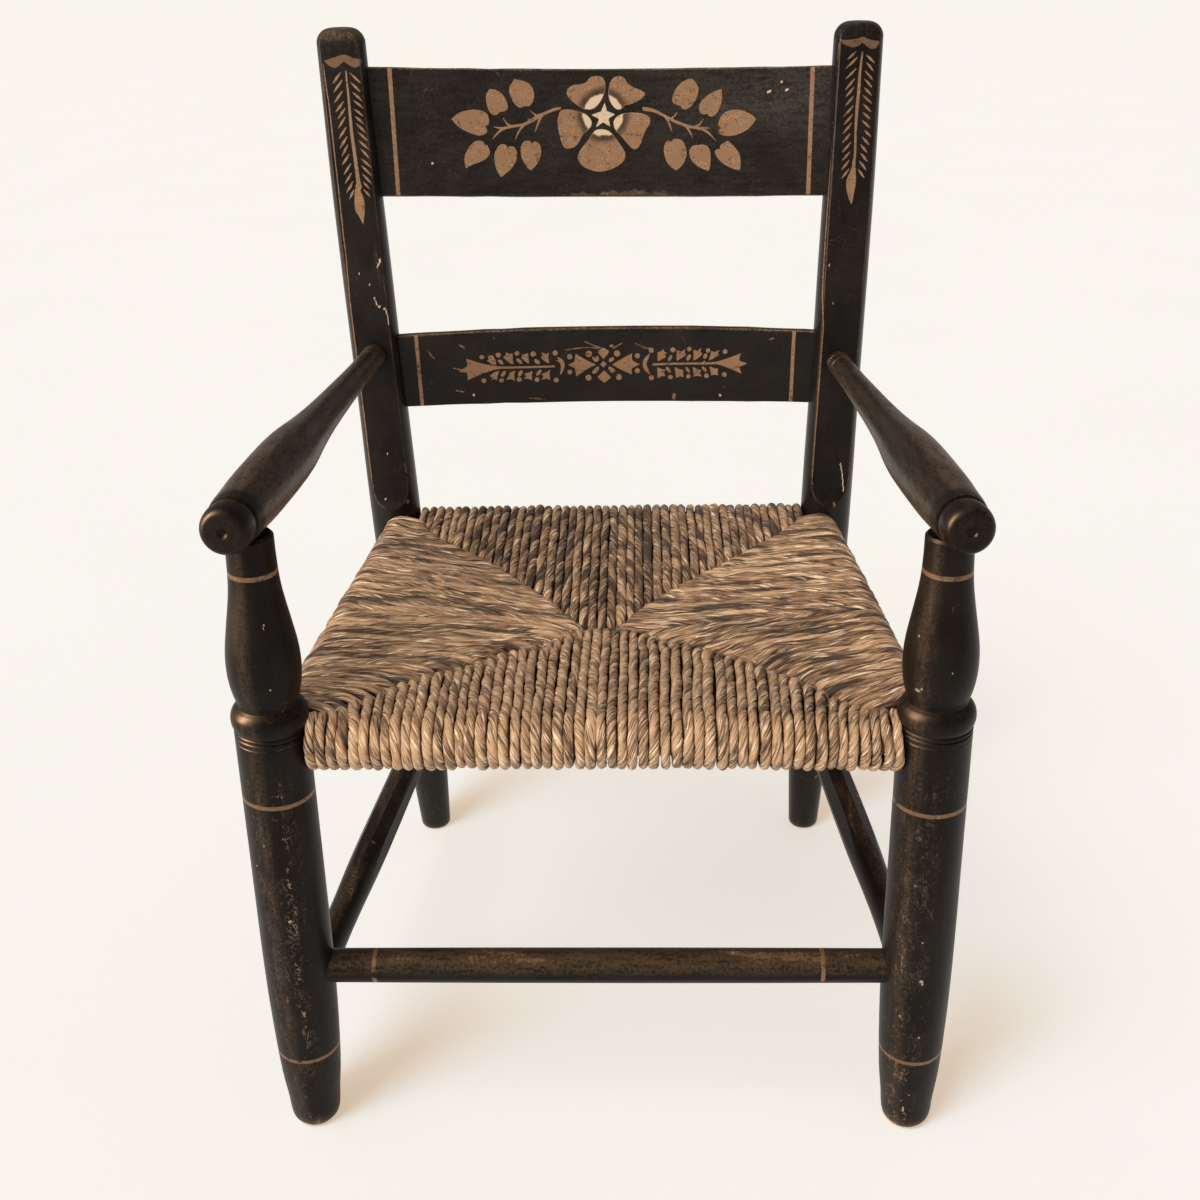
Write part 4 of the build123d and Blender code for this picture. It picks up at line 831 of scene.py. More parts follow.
def smooth_table(table, z):
    """A table's columns at many heights, on a smooth curve through its rows."""
    t = np.asarray(table, float)
    zs = t[:, 0]
    out = []
    for col in range(1, t.shape[1]):
        v = t[:, col]
        m = np.gradient(v, zs)
        i = np.clip(np.searchsorted(zs, z) - 1, 0, len(zs) - 2)
        h = zs[i + 1] - zs[i]
        u = (z - zs[i]) / h
        out.append((2 * u ** 3 - 3 * u ** 2 + 1) * v[i] + (u ** 3 - 2 * u ** 2 + u) * h * m[i]
                   + (-2 * u ** 3 + 3 * u ** 2) * v[i + 1] + (u ** 3 - u ** 2) * h * m[i + 1])
    return out


def rack(z):
    return 3.0 - 7.5 * z / 648.0


def slat(name, node, low_z, height, lean, tilt, half, arch, r_top, r_low, shapes, extra_lines, wear_fn, star=None):
    """A bent slat: an even grid on its front, so that the stencil's outline keeps its shape, closed all round."""
    a, t = math.radians(lean), math.radians(tilt)
    z_dir = np.array((math.sin(t) * math.cos(a), math.sin(a), math.cos(t) * math.cos(a)))
    x_dir = np.array((math.cos(t), 0, -math.sin(t)))
    y_dir = np.cross(z_dir, x_dir)
    y_post = lerp_table(POST, low_z)[1]
    origin = np.array((rack(low_z), y_post + Y0, low_z))
    bow, h = 14.0, 4.0
    r_mid = (half ** 2 + bow ** 2) / (2 * bow)
    cx = bow - r_mid
    cell = 0.68
    # the section, once round: (depth from the middle, height), counter clockwise from the front's low end
    sec = []
    rows = int(round((height - r_top - r_low) / cell))
    for k in range(rows + 1):
        sec.append((-h, r_low + (height - r_top - r_low) * k / rows))
    for k in range(1, 6):
        b = math.pi / 2 * k / 5
        sec.append((-h + r_top * (1 - math.cos(b)), height - r_top + r_top * math.sin(b)))
    for k in range(1, 4):
        sec.append((-h + r_top + (2 * h - 2 * r_top) * k / 4, height))
    for k in range(0, 6):
        b = math.pi / 2 * k / 5
        sec.append((h - r_top * (1 - math.sin(b)), height - r_top * (1 - math.cos(b))))
    back = int((height - r_top - r_low) / 3.2)
    for k in range(1, back):
        sec.append((h, height - r_top - (height - r_top - r_low) * k / back))
    for k in range(0, 5):
        b = math.pi / 2 * k / 4
        sec.append((h - r_low * (1 - math.cos(b)), r_low * (1 - math.sin(b))))
    for k in range(1, 4):
        sec.append((h - r_low - (2 * h - 2 * r_low) * k / 4, 0.0))
    for k in range(0, 4):
        b = math.pi / 2 * k / 4
        sec.append((-h + r_low * (1 - math.sin(b)), r_low * (1 - math.cos(b))))
    sec = np.array(sec)
    ang = math.asin(half / r_mid)
    cols = int(round(2 * half / cell))
    phi = np.linspace(-ang, ang, cols + 1)
    ph, k = np.meshgrid(phi, np.arange(len(sec)), indexing="ij")
    rad = r_mid + sec[k, 0]
    lx = rad * np.sin(ph)
    ly = cx + rad * np.cos(ph)
    grow = 1 + arch * (1 - (lx / half) ** 2) / height
    lv = sec[k, 1] * grow
    rng = np.random.default_rng(7)
    # the old edges are not quite straight
    wob = np.interp(lx, np.linspace(-half, half, 24), rng.uniform(-0.22, 0.22, 24))
    lv = lv + wob * np.where(lv > height * 0.5, sstep(lv, height - 6, height), -sstep(lv, 6, 0))
    co = origin + lx[..., None] * x_dir + ly[..., None] * y_dir + lv[..., None] * z_dir
    m = len(sec)
    i, j = np.meshgrid(np.arange(cols), np.arange(m), indexing="ij")
    j2 = (j + 1) % m
    quads = np.stack([i * m + j, (i + 1) * m + j, (i + 1) * m + j2, i * m + j2], -1).reshape(-1, 4)
    co = co.reshape(-1, 3)
    ends = np.array([co[:m].mean(0), co[-m:].mean(0)])
    n0 = len(co)
    co = np.vstack([co, ends])
    tris = []
    for q in range(m):
        tris.append([q, (q + 1) % m, n0])
        tris.append([n0 - m + (q + 1) % m, n0 - m + q, n0 + 1])
    gold = np.full(n0, 5.0)
    front = (sec[k, 0] < -h + 0.9).ravel()
    fx, fv = lx.ravel()[front], lv.ravel()[front]
    gold[front] = shape_field(fx, fv, list(shapes) + list(extra_lines))
    chips = CREST_CHIPS if star is not None else LOWER_CHIPS
    attrs = {"gold": gold, "wear": wear_fn(lx.ravel(), lv.ravel(), sec[k, 0].ravel(), height),
             "chip": np.where(front, scratches(lx.ravel(), lv.ravel(), chips, 0.52), 0.0)}
    if star is not None:
        s = np.full(n0, 5.0)
        s[front] = shape_field(fx, fv, [star[0]])
        fl = np.full(n0, 60.0)
        near = np.hypot(fx - star[1][0], fv - star[1][1])
        inside = shape_field(fx, fv, star[2]) < 0.8
        fl[front] = np.where(inside, near, 60.0)
        attrs["star"] = s
        attrs["flower"] = fl
    attrs = {key: np.concatenate([v, [5.0 if key in ("gold", "star", "flower") else 0.0 if key == "chip" else 0.3] * 2])
             for key, v in attrs.items()}
    mat = paint("paint_" + name, attribute_wear, stencil_mask, grain=(0.14, 1, 1), seed=0.9 if star is not None else 1.7,
                flower=star is not None, gloss=0.27, tint=(1.0, 0.92, 0.85, 1), pale=chip_mask,
                overlay=slat_film if star is not None else None, overlay_colour=(0.082, 0.070, 0.060))
    ob = make_mesh(name, co, [quads] + tris, mat, attrs)
    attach(ob, "root")
    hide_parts(node)
    return ob


def scratches(x, v, marks, half):
    """Wear along fine polylines, for scratches and small chips."""
    near = np.full(np.shape(x + v), 99.0)
    x, v = x + 0 * v, v + 0 * x
    for line in marks:
        for a, b in zip(line[:-1], line[1:]):
            near = np.minimum(near, seg_distance(x, v, np.array(a, float), np.array(b, float))[0])
    return 1.15 * sstep(near, half * 2.2, half * 0.7)


def crest_wear_and_highlight(x, v, d, height):
    w = 0.10 + 0 * x
    # the rounded top edge: rubbed brown, and partly a painted highlight where it catches the light from above
    top = sstep(v, height - 2.3, height - 0.9)
    w = np.maximum(w, 0.92 * top)
    # a long rubbed strip low on the front, ragged on its upper side
    reach = 1.9 + 2.0 * np.exp(-((x - 24) / 22.0) ** 2) + 0.8 * np.sin(x * 0.31) + 0.7 * np.sin(x * 0.83 + 1)
    strip = sstep(x, -46, -22) * sstep(x, 66, 40) * sstep(v, reach + 2.2, reach - 0.9)
    w = np.maximum(w, np.where(d < -3.0, 0.76 * strip, 0.1))
    low = sstep(v, 1.0, 0.3)
    w = np.maximum(w, 0.80 * low)
    return np.where(d > 3.0, 0.25 + 0.3 * top, w)


def lower_wear_and_highlight(x, v, d, height):
    w = 0.08 + 0 * x
    # the rounded top edge: a brown band, rubbed paint and partly a painted highlight where it catches the light from
    # above
    edge = 54.4 + 3.0 * (1 - (x / 164.7) ** 2)
    w = np.maximum(w, 0.62 * sstep(v, edge - 3.4, edge - 1.8))
    w = np.maximum(w, 0.96 * np.exp(-((v - edge + 1.2) / 0.8) ** 2))
    w = np.maximum(w, 0.84 * sstep(v, 1.0, 0.3))
    marks = [[(-32, 40), (-24, 41.2), (-14, 41.8), (-6, 41.0)], [(-17, 46.5), (-11, 43.6), (-5, 41.6)],
             [(5, 41.0), (9, 43.4), (12, 45)], [(-112, 45.5), (-109, 44), (-108.5, 43)], [(123.5, 47.5), (126, 48.4)],
             [(86, 5), (87, 4.2)], [(89, 11.2), (90, 10.6)], [(-103, 7.4), (-102.5, 6.6)], [(-60, 3.5), (-48, 2.6)],
             [(-136, 42), (-133, 37.5), (-131, 36)], [(-116, 11), (-110, 9.6)], [(22, 44.5), (29, 41), (34, 40.5)]]
    w = np.maximum(w, scratches(x, v, marks, 0.36))
    return np.where(d > 3.0, 0.25, w)


CREST_CHIPS = [[(120.0, 72.2), (121.7, 73.0)], [(132.9, 73.4), (134.0, 73.8)], [(129.6, 79.0), (129.8, 79.1)],
               [(-124.9, 23.2), (-124.6, 23.2)]]
LOWER_CHIPS = [[(86.4, 5), (87, 4.4)], [(-103, 7.4), (-102.7, 6.8)]]


def slat_film(n):
    """A pale greyish mottle over the crest, thickest towards its upper right."""
    x, y, z = n.xyz(n.coord())
    right = n.mul(n.step(x, -0.02, 0.13), n.step(z, 0.555, 0.600))
    cloud = n.step(n.noise(n.coord(), 21, 3, 0.6), 0.34, 0.66)
    return n.mul(n.add(0.16, n.mul(right, 0.50)), n.mixf(cloud, 0.55, 1.0))


def build_slats():
    crest = [s for s in CREST_SHAPES]
    stripes = [("line", [(-154.1, 95), (-149.9, -3)], [3.0, 2.9]), ("line", [(151.5, 95), (150.7, -3)], [3.0, 2.9])]
    petals = crest[12:17]
    slat("crest_slat_stenciled", "crest_slat", 532.4, 90.0, 14.3, 0.7, 173.7, 0.0, 2.2, 1.8, crest, stripes, crest_wear_and_highlight,
         star=(crest[17], (0.4, 57.6), petals))
    stripes = [("line", [(-144.5, 60), (-142.2, -3)], [2.6, 2.6]), ("line", [(141.5, 60), (140.1, -3)], [2.6, 2.6])]
    slat("lower_slat_stenciled", "lower_slat", 380.3, 54.4, 7.9, 0.0, 164.665, 3.0, 2.6, 0.6, list(LOWER_SHAPES), stripes,
         lower_wear_and_highlight)


# ------------------------------------------------------------------ rear posts
def half_chord(z):
    x, y, r = smooth_table(POST, z)
    d = lerp_table(FACE, z)[0]
    return np.sqrt(np.maximum(r ** 2 - d ** 2, 0.0))


def post(name, node, side, top, shapes):
    zs = [0.0, 0.25, 0.9, 1.8, 3.0]
    zs += list(np.arange(8, 296, 6.0)) + list(np.arange(298, 334, 0.75)) + list(np.arange(335, 500, 1.6))
    zs += list(np.arange(500, top - 10.5, 0.70))
    for k in range(0, 13):
        zs.append(top - 10.5 + 10.5 * math.sin(math.pi / 2 * k / 12))
    zs = np.array(sorted(set(np.round(zs, 4))))
    ax, ay, r = smooth_table(POST, zs)
    up = np.clip(zs - (top - 10.5), 0, 10.5)
    r = r - 10.5 + np.sqrt(np.maximum(10.5 ** 2 - up ** 2, 0))
    low = np.clip(3.0 - zs, 0, 3)
    r = r - 3.0 + np.sqrt(np.maximum(9.0 - low ** 2, 0))
    d = np.where(zs < 300, 40.0, lerp_table(FACE, zs)[0])
    nf, nb = 48, 44
    psi = math.radians(59)
    s = np.linspace(-1, 1, nf)
    lat = r[:, None] * math.sin(psi) * s
    arc = np.sqrt(np.maximum(r[:, None] ** 2 - lat ** 2, 0))
    k = 1.1                                    # the planed face meets the round side in a soft edge
    dd = np.broadcast_to(d[:, None], arc.shape)
    hmix = np.clip(0.5 + 0.5 * (arc - dd) / k, 0, 1)
    depth = arc * (1 - hmix) + dd * hmix - k * hmix * (1 - hmix) * 0.5
    b = np.linspace(psi, 2 * math.pi - psi, nb + 2)[1:-1]
    bx = r[:, None] * np.sin(b)
    by = r[:, None] * -np.cos(b)
    sx = np.hstack([lat, bx])
    sy = np.hstack([-depth, by])
    cxs = (side * ax + rack(zs))[:, None]
    cys = (ay + Y0)[:, None]
    z2 = np.broadcast_to(zs[:, None], sx.shape)
    co = np.stack([cxs + sx, cys + sy, z2], -1).reshape(-1, 3)
    m = nf + nb
    rows = len(zs)
    i, j = np.meshgrid(np.arange(rows - 1), np.arange(m), indexing="ij")
    j2 = (j + 1) % m
    quads = np.stack([i * m + j, i * m + j2, (i + 1) * m + j2, (i + 1) * m + j], -1).reshape(-1, 4)
    n0 = len(co)
    co = np.vstack([co, [[cxs[0, 0], cys[0, 0], 0.0]], [[cxs[-1, 0], cys[-1, 0], top]]])
    tris = []
    for q in range(m):
        tris.append([(q + 1) % m, q, n0])
        tris.append([n0 - m + q, n0 - m + (q + 1) % m, n0 + 1])
    front = np.zeros((rows, m), bool)
    front[:, :nf] = True
    front &= (z2 > 300)
    # the fine line follows the outer edge of the planed face down towards its rounded lower end, where it thins out
    lines = []
    for kind, data, extra in shapes:
        if kind == "line" and len(data) > 8:
            keep = [q for q in data if q[1] > 455]
            edge = math.copysign(1.0, data[len(data) // 2][0])
            zz = np.arange(440, 309, -9.0)
            keep += [(edge * float(half_chord(z) - 0.9), float(z)) for z in zz]
            lines.append(("line", keep, [0.8] * (len(keep) - 2) + [0.5, 0.1]))
        else:
            lines.append((kind, data, extra))
    gold = np.full(rows * m, 5.0)
    sel = front.ravel()
    gold[sel] = shape_field(sx.ravel()[sel], z2.ravel()[sel], lines)
    wear = 0.08 + np.zeros((rows, m))
    band = 636.0 if side > 0 else 631.0
    wear = np.maximum(wear, 0.30 * sstep(z2, band - 2.0, band + 1.5) + 0.42 * sstep(z2, band + 6.0, band + 14.0))
    edge = np.zeros_like(wear)
    hc = half_chord(zs)[:, None]
    edge[:, :nf] = np.exp(-((np.abs(lat) - hc) / 0.8) ** 2)
    wear = np.maximum(wear, np.where(z2 > 306, 0.74 * edge, 0))
    wear = np.maximum(wear, 0.6 * sstep(z2, 12, 2))
    inner = np.where((sx * side) < 0, 1.0, 0.0)
    chips = np.exp(-((z2 - 490) / 26.0) ** 2) * np.exp(-((sx + side * 10.5) / 3.0) ** 2) * inner
    if side < 0:
        wear = np.maximum(wear, 0.50 * chips)
        marks = [[(5.4, 464.6), (7.0, 458.8), (12.8, 456.3), (13.8, 451.3), (13.8, 444.6)],
                 [(10.8, 493), (13.6, 491.3), (10.2, 487)], [(-6.9, 364.4), (-6.3, 364.8)], [(-4.3, 481.2), (-3.7, 482)],
                 [(3.2, 474.2), (3.6, 475)], [(1.1, 347.6), (1.5, 348.4)], [(-4.6, 312.6), (-3.8, 313.4)]]
    else:
        marks = [[(7.3, 336.7), (9.3, 328.4), (10.9, 316)], [(-12.1, 483.6), (-11.5, 484.4)], [(-7.7, 455.7), (-7.1, 456.3)]]
    chip = np.where(front & (z2 > 300), scratches(sx, z2, marks, 0.25), 0.0)
    attrs = {"gold": np.concatenate([gold, [5, 5]]), "wear": np.concatenate([wear.ravel(), [0.3, 0.5]]),
             "chip": np.concatenate([chip.ravel(), [0, 0]])}
    def dull(n):
        x, y, z = n.xyz(n.coord())
        return n.step(z, (band - 12) * MM, (band - 9) * MM)

    mat = paint("paint_" + name, attribute_wear, stencil_mask, seed=2.6 + side, dull=dull, pale=chip_mask, gloss=0.22,
                tint=(1.0, 0.90, 0.82, 1))
    ob = make_mesh(name, co, [quads] + tris, mat, attrs)
    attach(ob, "root")
    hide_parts(node)
    return ob


def peg_heads():
    """The two small pins, with their rounded ends standing a little out of the backs of the posts."""
    z, a = 578.4, math.radians(14.3)
    ax, ay, r = (float(v[0]) for v in smooth_table(POST, np.array([z])))
    back = np.array((0.0, math.cos(a), -math.sin(a)))
    e1 = np.array((1.0, 0.0, 0.0))
    e2 = np.cross(back, e1)
    th = np.arange(28) / 28 * 2 * math.pi
    rings = [(-9.0, 2.2), (2.0, 2.2), (r - 2.1, 2.2), (r - 1.7, 2.08), (r - 1.4, 1.75), (r - 1.25, 1.2), (r - 1.2, 0.6)]
    co, quads, caps = [], [], []
    for side in (-1, 1):
        mid = np.array((side * 168.2 + float(rack(z)), ay + Y0, z))
        base = len(co) * 28
        for depth, radius in rings:
            co.append(mid + back * depth + radius * (np.cos(th)[:, None] * e1 + np.sin(th)[:, None] * e2))
        for i in range(len(rings) - 1):
            for j in range(28):
                k = (j + 1) % 28
                quads.append((base + i * 28 + j, base + i * 28 + k, base + (i + 1) * 28 + k, base + (i + 1) * 28 + j))
        caps.append([base + j for j in range(28)][::-1])
        caps.append([base + (len(rings) - 1) * 28 + j for j in range(28)])
    mat = paint("paint_pegs", lambda n: n.mul(n.step(n.normal()[1], 0.3, 0.9), 0.62), None, seed=5.0, gloss=0.22,
                tint=(1.0, 0.90, 0.82, 1))
    ob = make_mesh("crest_slat_peg_heads", np.vstack(co), [np.array(quads)] + caps, mat)
    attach(ob, "root")
    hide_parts("crest_slat_pegs")


# ------------------------------------------------------------------ rush
FRONT_Z, REAR_Z, DEPTH = 293.4, 284.6, 332.8
CORD = 3.2                                   # half a cord
RHO_F, RHO_R, RHO_S = 17.1 - CORD, 15.4 - CORD, 13.8 - CORD
APEX_L, APEX_R, APEX_Y, APEX_Z = -20.0, 13.0, 146.0, 285.4
FRONT_SEAM = [(-171, 3.5), (-155, 4.5), (-142, 19), (-125, 41), (-113, 53), (-99, 64), (-84, 75), (-70, 89),
              (-58, 102), (-42, 116), (-28, 131), (-20, 140), (13, 140), (23, 137), (31, 126), (41, 119), (54, 108),
              (67, 96), (82, 86), (96, 69), (115, 50), (130, 27), (141, 11), (152, 5), (171, 3.5)]
REAR_SEAM = [(-149.4, 306), (-131, 277), (-117, 265), (-100, 250.5), (-82.5, 233), (-62.5, 207.5), (-42.5, 181),
             (-24, 156), (-20, 148), (13, 150), (23, 166), (32, 179), (47, 196), (61, 211), (81, 231), (98, 247.5),
             (112, 264), (129, 281), (149.4, 307)]


def seam_y(x):
    """How far back the front strands reach, and how far forward the rear ones do."""
    return (float(np.interp(x, [q[0] for q in FRONT_SEAM], [q[1] for q in FRONT_SEAM])),
            float(np.interp(x, [q[0] for q in REAR_SEAM], [q[1] for q in REAR_SEAM])))


def seam_x(side, y):
    """Where a side cord at y meets the front or rear strands."""
    table = [q for q in (FRONT_SEAM if y < APEX_Y else REAR_SEAM) if q[0] * side > 0]
    table.sort(key=lambda q: q[1])
    return float(np.interp(y, [q[1] for q in table], [q[0] for q in table]))


def spread(lo, hi, count, rng, vary):
    """Places of uneven cords laid side by side, and how thick each of them is against the mean."""
    w = rng.uniform(1 - vary, 1 + vary, count)
    c = np.cumsum(w) - w / 2
    return lo + (c - c[0]) / (c[-1] - c[0]) * (hi - lo), w / w.mean()


def seam_z(y):
    """Centre of a cord at the seam, on top and underneath."""
    if y < APEX_Y:
        top = FRONT_Z + RHO_F + (APEX_Z - FRONT_Z - RHO_F) * y / APEX_Y
    else:
        top = APEX_Z + (REAR_Z + RHO_R - APEX_Z) * (y - APEX_Y) / (DEPTH - APEX_Y)
    return top, 282.9 - 0.0316 * y


def resample(p, step):
    d = np.concatenate([[0], np.cumsum(np.linalg.norm(np.diff(p, axis=0), axis=1))])
    n = max(3, int(d[-1] / step) + 1)
    s = np.linspace(0, d[-1], n)
    return np.stack([np.interp(s, d, p[:, i]) for i in range(p.shape[1])], -1), s


def section(rho, zr, ts, top_z, low_z, over, hang, bulge):
    """A cord's centre line in its own upright plane, from its top end by the seam, over the rail and back
    underneath: distance from the rail's axis towards the seam, and height."""
    def tangent(h):
        dist = math.hypot(ts, h)
        return math.asin(min(0.999, rho / dist)) - math.atan2(h, ts)

    pts = []
    a = tangent(top_z - zr)
    start = np.array((rho * math.sin(a), zr + rho * math.cos(a)))
    end = np.array((ts, top_z))
    length = np.linalg.norm(end - start)
    u = np.linspace(1, 0, max(8, int(length / 2)))
    line = start + (end - start) * u[:, None]
    line[:, 1] += bulge * np.sin(math.pi * u) ** 0.8
    if over:
        r = 3.4
        line[:, 1] += 1.3 * sstep(line[:, 0], ts - 9, ts) * sstep(length, 4, 16)
        c = np.array((ts + 0.8, line[0, 1] - r))
        turn = np.radians(np.linspace(-4, 82, 9))
        dive = np.stack([c[0] + r * np.cos(turn), c[1] + r * np.sin(turn)], -1)
        pts.append(np.array([[c[0] + r, c[1] - 4.0]]))
        pts.append(dive)
    else:
        back = np.clip((ts - line[:, 0]) / 17.0, 0, 1)
        line[:, 1] -= 5.9 * (1 - back) ** 2 * (1 + 2 * back) * sstep(length, 4, 24)
        pts.append(np.array([[ts + 4.6, top_z - 10.5], [ts + 2.6, top_z - 7.8]]))
    pts.append(line)
    b = tangent(zr - low_z)
    th = np.linspace(a, -math.pi - b, 34)[1:]
    # below the rail the loops hang a little lower than the round
    loose = hang * np.clip(-np.cos(th), 0, 1) ** 1.2
    arc = np.stack([rho * np.sin(th), zr + rho * np.cos(th) - loose], -1)
    pts.append(arc)
    start = arc[-1]
    end = np.array((ts, low_z))
    u = np.linspace(0, 1, max(6, int(np.linalg.norm(end - start) / 3)))[1:]
    low = start + (end - start) * u[:, None]
    if not over:
        low[:, 1] += 4.5 * sstep(low[:, 0], ts - 11, ts)
    pts.append(low)
    pts.append(np.array([[ts + 3.2, low_z + (2.2 if over else 6.5)], [ts + 4.4, low_z + (5.4 if over else 8.2)]]))
    return np.vstack(pts)


class Cords:
    """Gathers many twisted two-ply cords into one closed mesh."""

    def __init__(self, stretch=1.0, panel_light_shift=0.0):
        self.stretch, self.panel_light_shift = stretch, panel_light_shift
        self.co, self.quads, self.caps, self.uv, self.tone, self.count = [], [], [], [], [], 0

    def add(self, path, side_dir, hand, rng, lay, a, r_out, r_tan, fat):
        t = np.gradient(path, axis=0)
        t /= np.linalg.norm(t, axis=1)[:, None]
        up = np.cross(t, side_dir)
        up /= np.linalg.norm(up, axis=1)[:, None]
        sd = np.cross(up, t)
        s = np.concatenate([[0], np.cumsum(np.linalg.norm(np.diff(path, axis=0), axis=1))])
        n = len(path)
        turn = hand * 2 * math.pi * (s / lay + 0.16 * soft_noise(n, rng, 9)) + rng.uniform(0, 6.28)
        size = (1 + 0.085 * soft_noise(n, rng, 5)) * fat
        shade = rng.uniform(0, 1)
        contrast = rng.uniform(-0.7, 0.7)
        ring = 9
        th = np.arange(ring) / ring * 2 * math.pi + math.pi
        for ply in (0, 1):
            an = turn + math.pi * ply
            e1 = np.cos(an)[:, None] * sd + np.sin(an)[:, None] * up
            e2 = -np.sin(an)[:, None] * sd + np.cos(an)[:, None] * up
            k = size * (1 + 0.06 * soft_noise(n, rng, 4))
            c = path + (a * size)[:, None] * e1
            p = (c[:, None, :] + (r_out * k)[:, None, None] * np.cos(th)[None, :, None] * e1[:, None, :]
                 + (r_tan * k)[:, None, None] * np.sin(th)[None, :, None] * e2[:, None, :])
            i, j = np.meshgrid(np.arange(n - 1), np.arange(ring), indexing="ij")
            j2 = (j + 1) % ring
            base = self.count
            self.quads.append((base + np.stack([i * ring + j, i * ring + j2, (i + 1) * ring + j2, (i + 1) * ring + j],
                                               -1)).reshape(-1, 4))
            u0, v0 = rng.uniform(0, 9), rng.uniform(0, 9)
            uu = np.stack([j, j + 1, j + 1, j], -1) / ring * 0.013 + u0
            vv = np.stack([s[i], s[i], s[i + 1], s[i + 1]], -1) * MM * self.stretch + v0
            self.uv.append(np.stack([uu, vv], -1).reshape(-1, 2))
            self.caps.append([base + q for q in range(ring)][::-1])
            self.caps.append([base + (n - 1) * ring + q for q in range(ring)])
            self.co.append(p.reshape(-1, 3))
            # the tone takes a painted light and shade shift for its panel, a tone for each cord, lighter and darker
            # plies and slow changes along it
            tone = self.panel_light_shift + np.clip(0.5 + 0.55 * (shade - 0.5) + (ply - 0.5) * contrast + 0.22 * soft_noise(n, rng, 6), 0, 1)
            self.tone.append(np.repeat(tone, ring))
            self.count += n * ring

    def build(self, name, material):
        co = np.vstack(self.co)
        return make_mesh(name, co, [np.vstack(self.quads)] + self.caps, material, {"tone": np.concatenate(self.tone)},
                         np.vstack(self.uv))


def rush_material():
    n = Net("rush_twist", Specular_IOR_Level=0.42, Sheen_Weight=0.08, Sheen_Roughness=0.5)
    uv = n.coord("UV")
    fibre = n.noise(n.scaled(uv, (1, 0.085, 1)), 1700, 4, 0.62)
    leaf = n.noise(n.scaled(uv, (1, 0.10, 1)), 720, 2, 0.5, 0.3)
    patch = n.noise(n.coord(), 60, 3, 0.6)
    tone = n.attr("tone")
    v = n.add(n.mul(fibre, 0.38), n.mul(leaf, 0.40), n.mul(tone, 0.195), n.mul(patch, 0.06), -0.019)
    low = n.mix(n.step(v, 0.40, 0.475), (0.050, 0.028, 0.016), (0.272, 0.147, 0.074))
    colour = n.mix(n.step(v, 0.495, 0.575), low, (0.545, 0.334, 0.187))
    # thin pale streaks: dry pale fibres, brightened as a painted highlight where they catch the light
    thin = n.noise(n.scaled(uv, (1, 0.065, 1)), 1250, 2, 0.5)
    pale = n.mul(n.step(thin, 0.558, 0.608), n.step(v, 0.40, 0.50))
    colour = n.mix(n.mul(pale, 0.95), colour, (0.95, 0.73, 0.50))
    dark = n.step(n.noise(n.scaled(uv, (1, 0.06, 1)), 1100, 2, 0.5), 0.405, 0.345)
    colour = n.mix(n.mul(dark, 0.88), colour, (0.032, 0.018, 0.011))
    height = n.add(n.mul(fibre, 0.55), n.mul(leaf, 0.8), n.mul(dark, -0.4), n.mul(pale, 0.12))
    return n.done(colour, n.mixf(fibre, 0.36, 0.60), n.bump(height, 1.0, 0.0013))


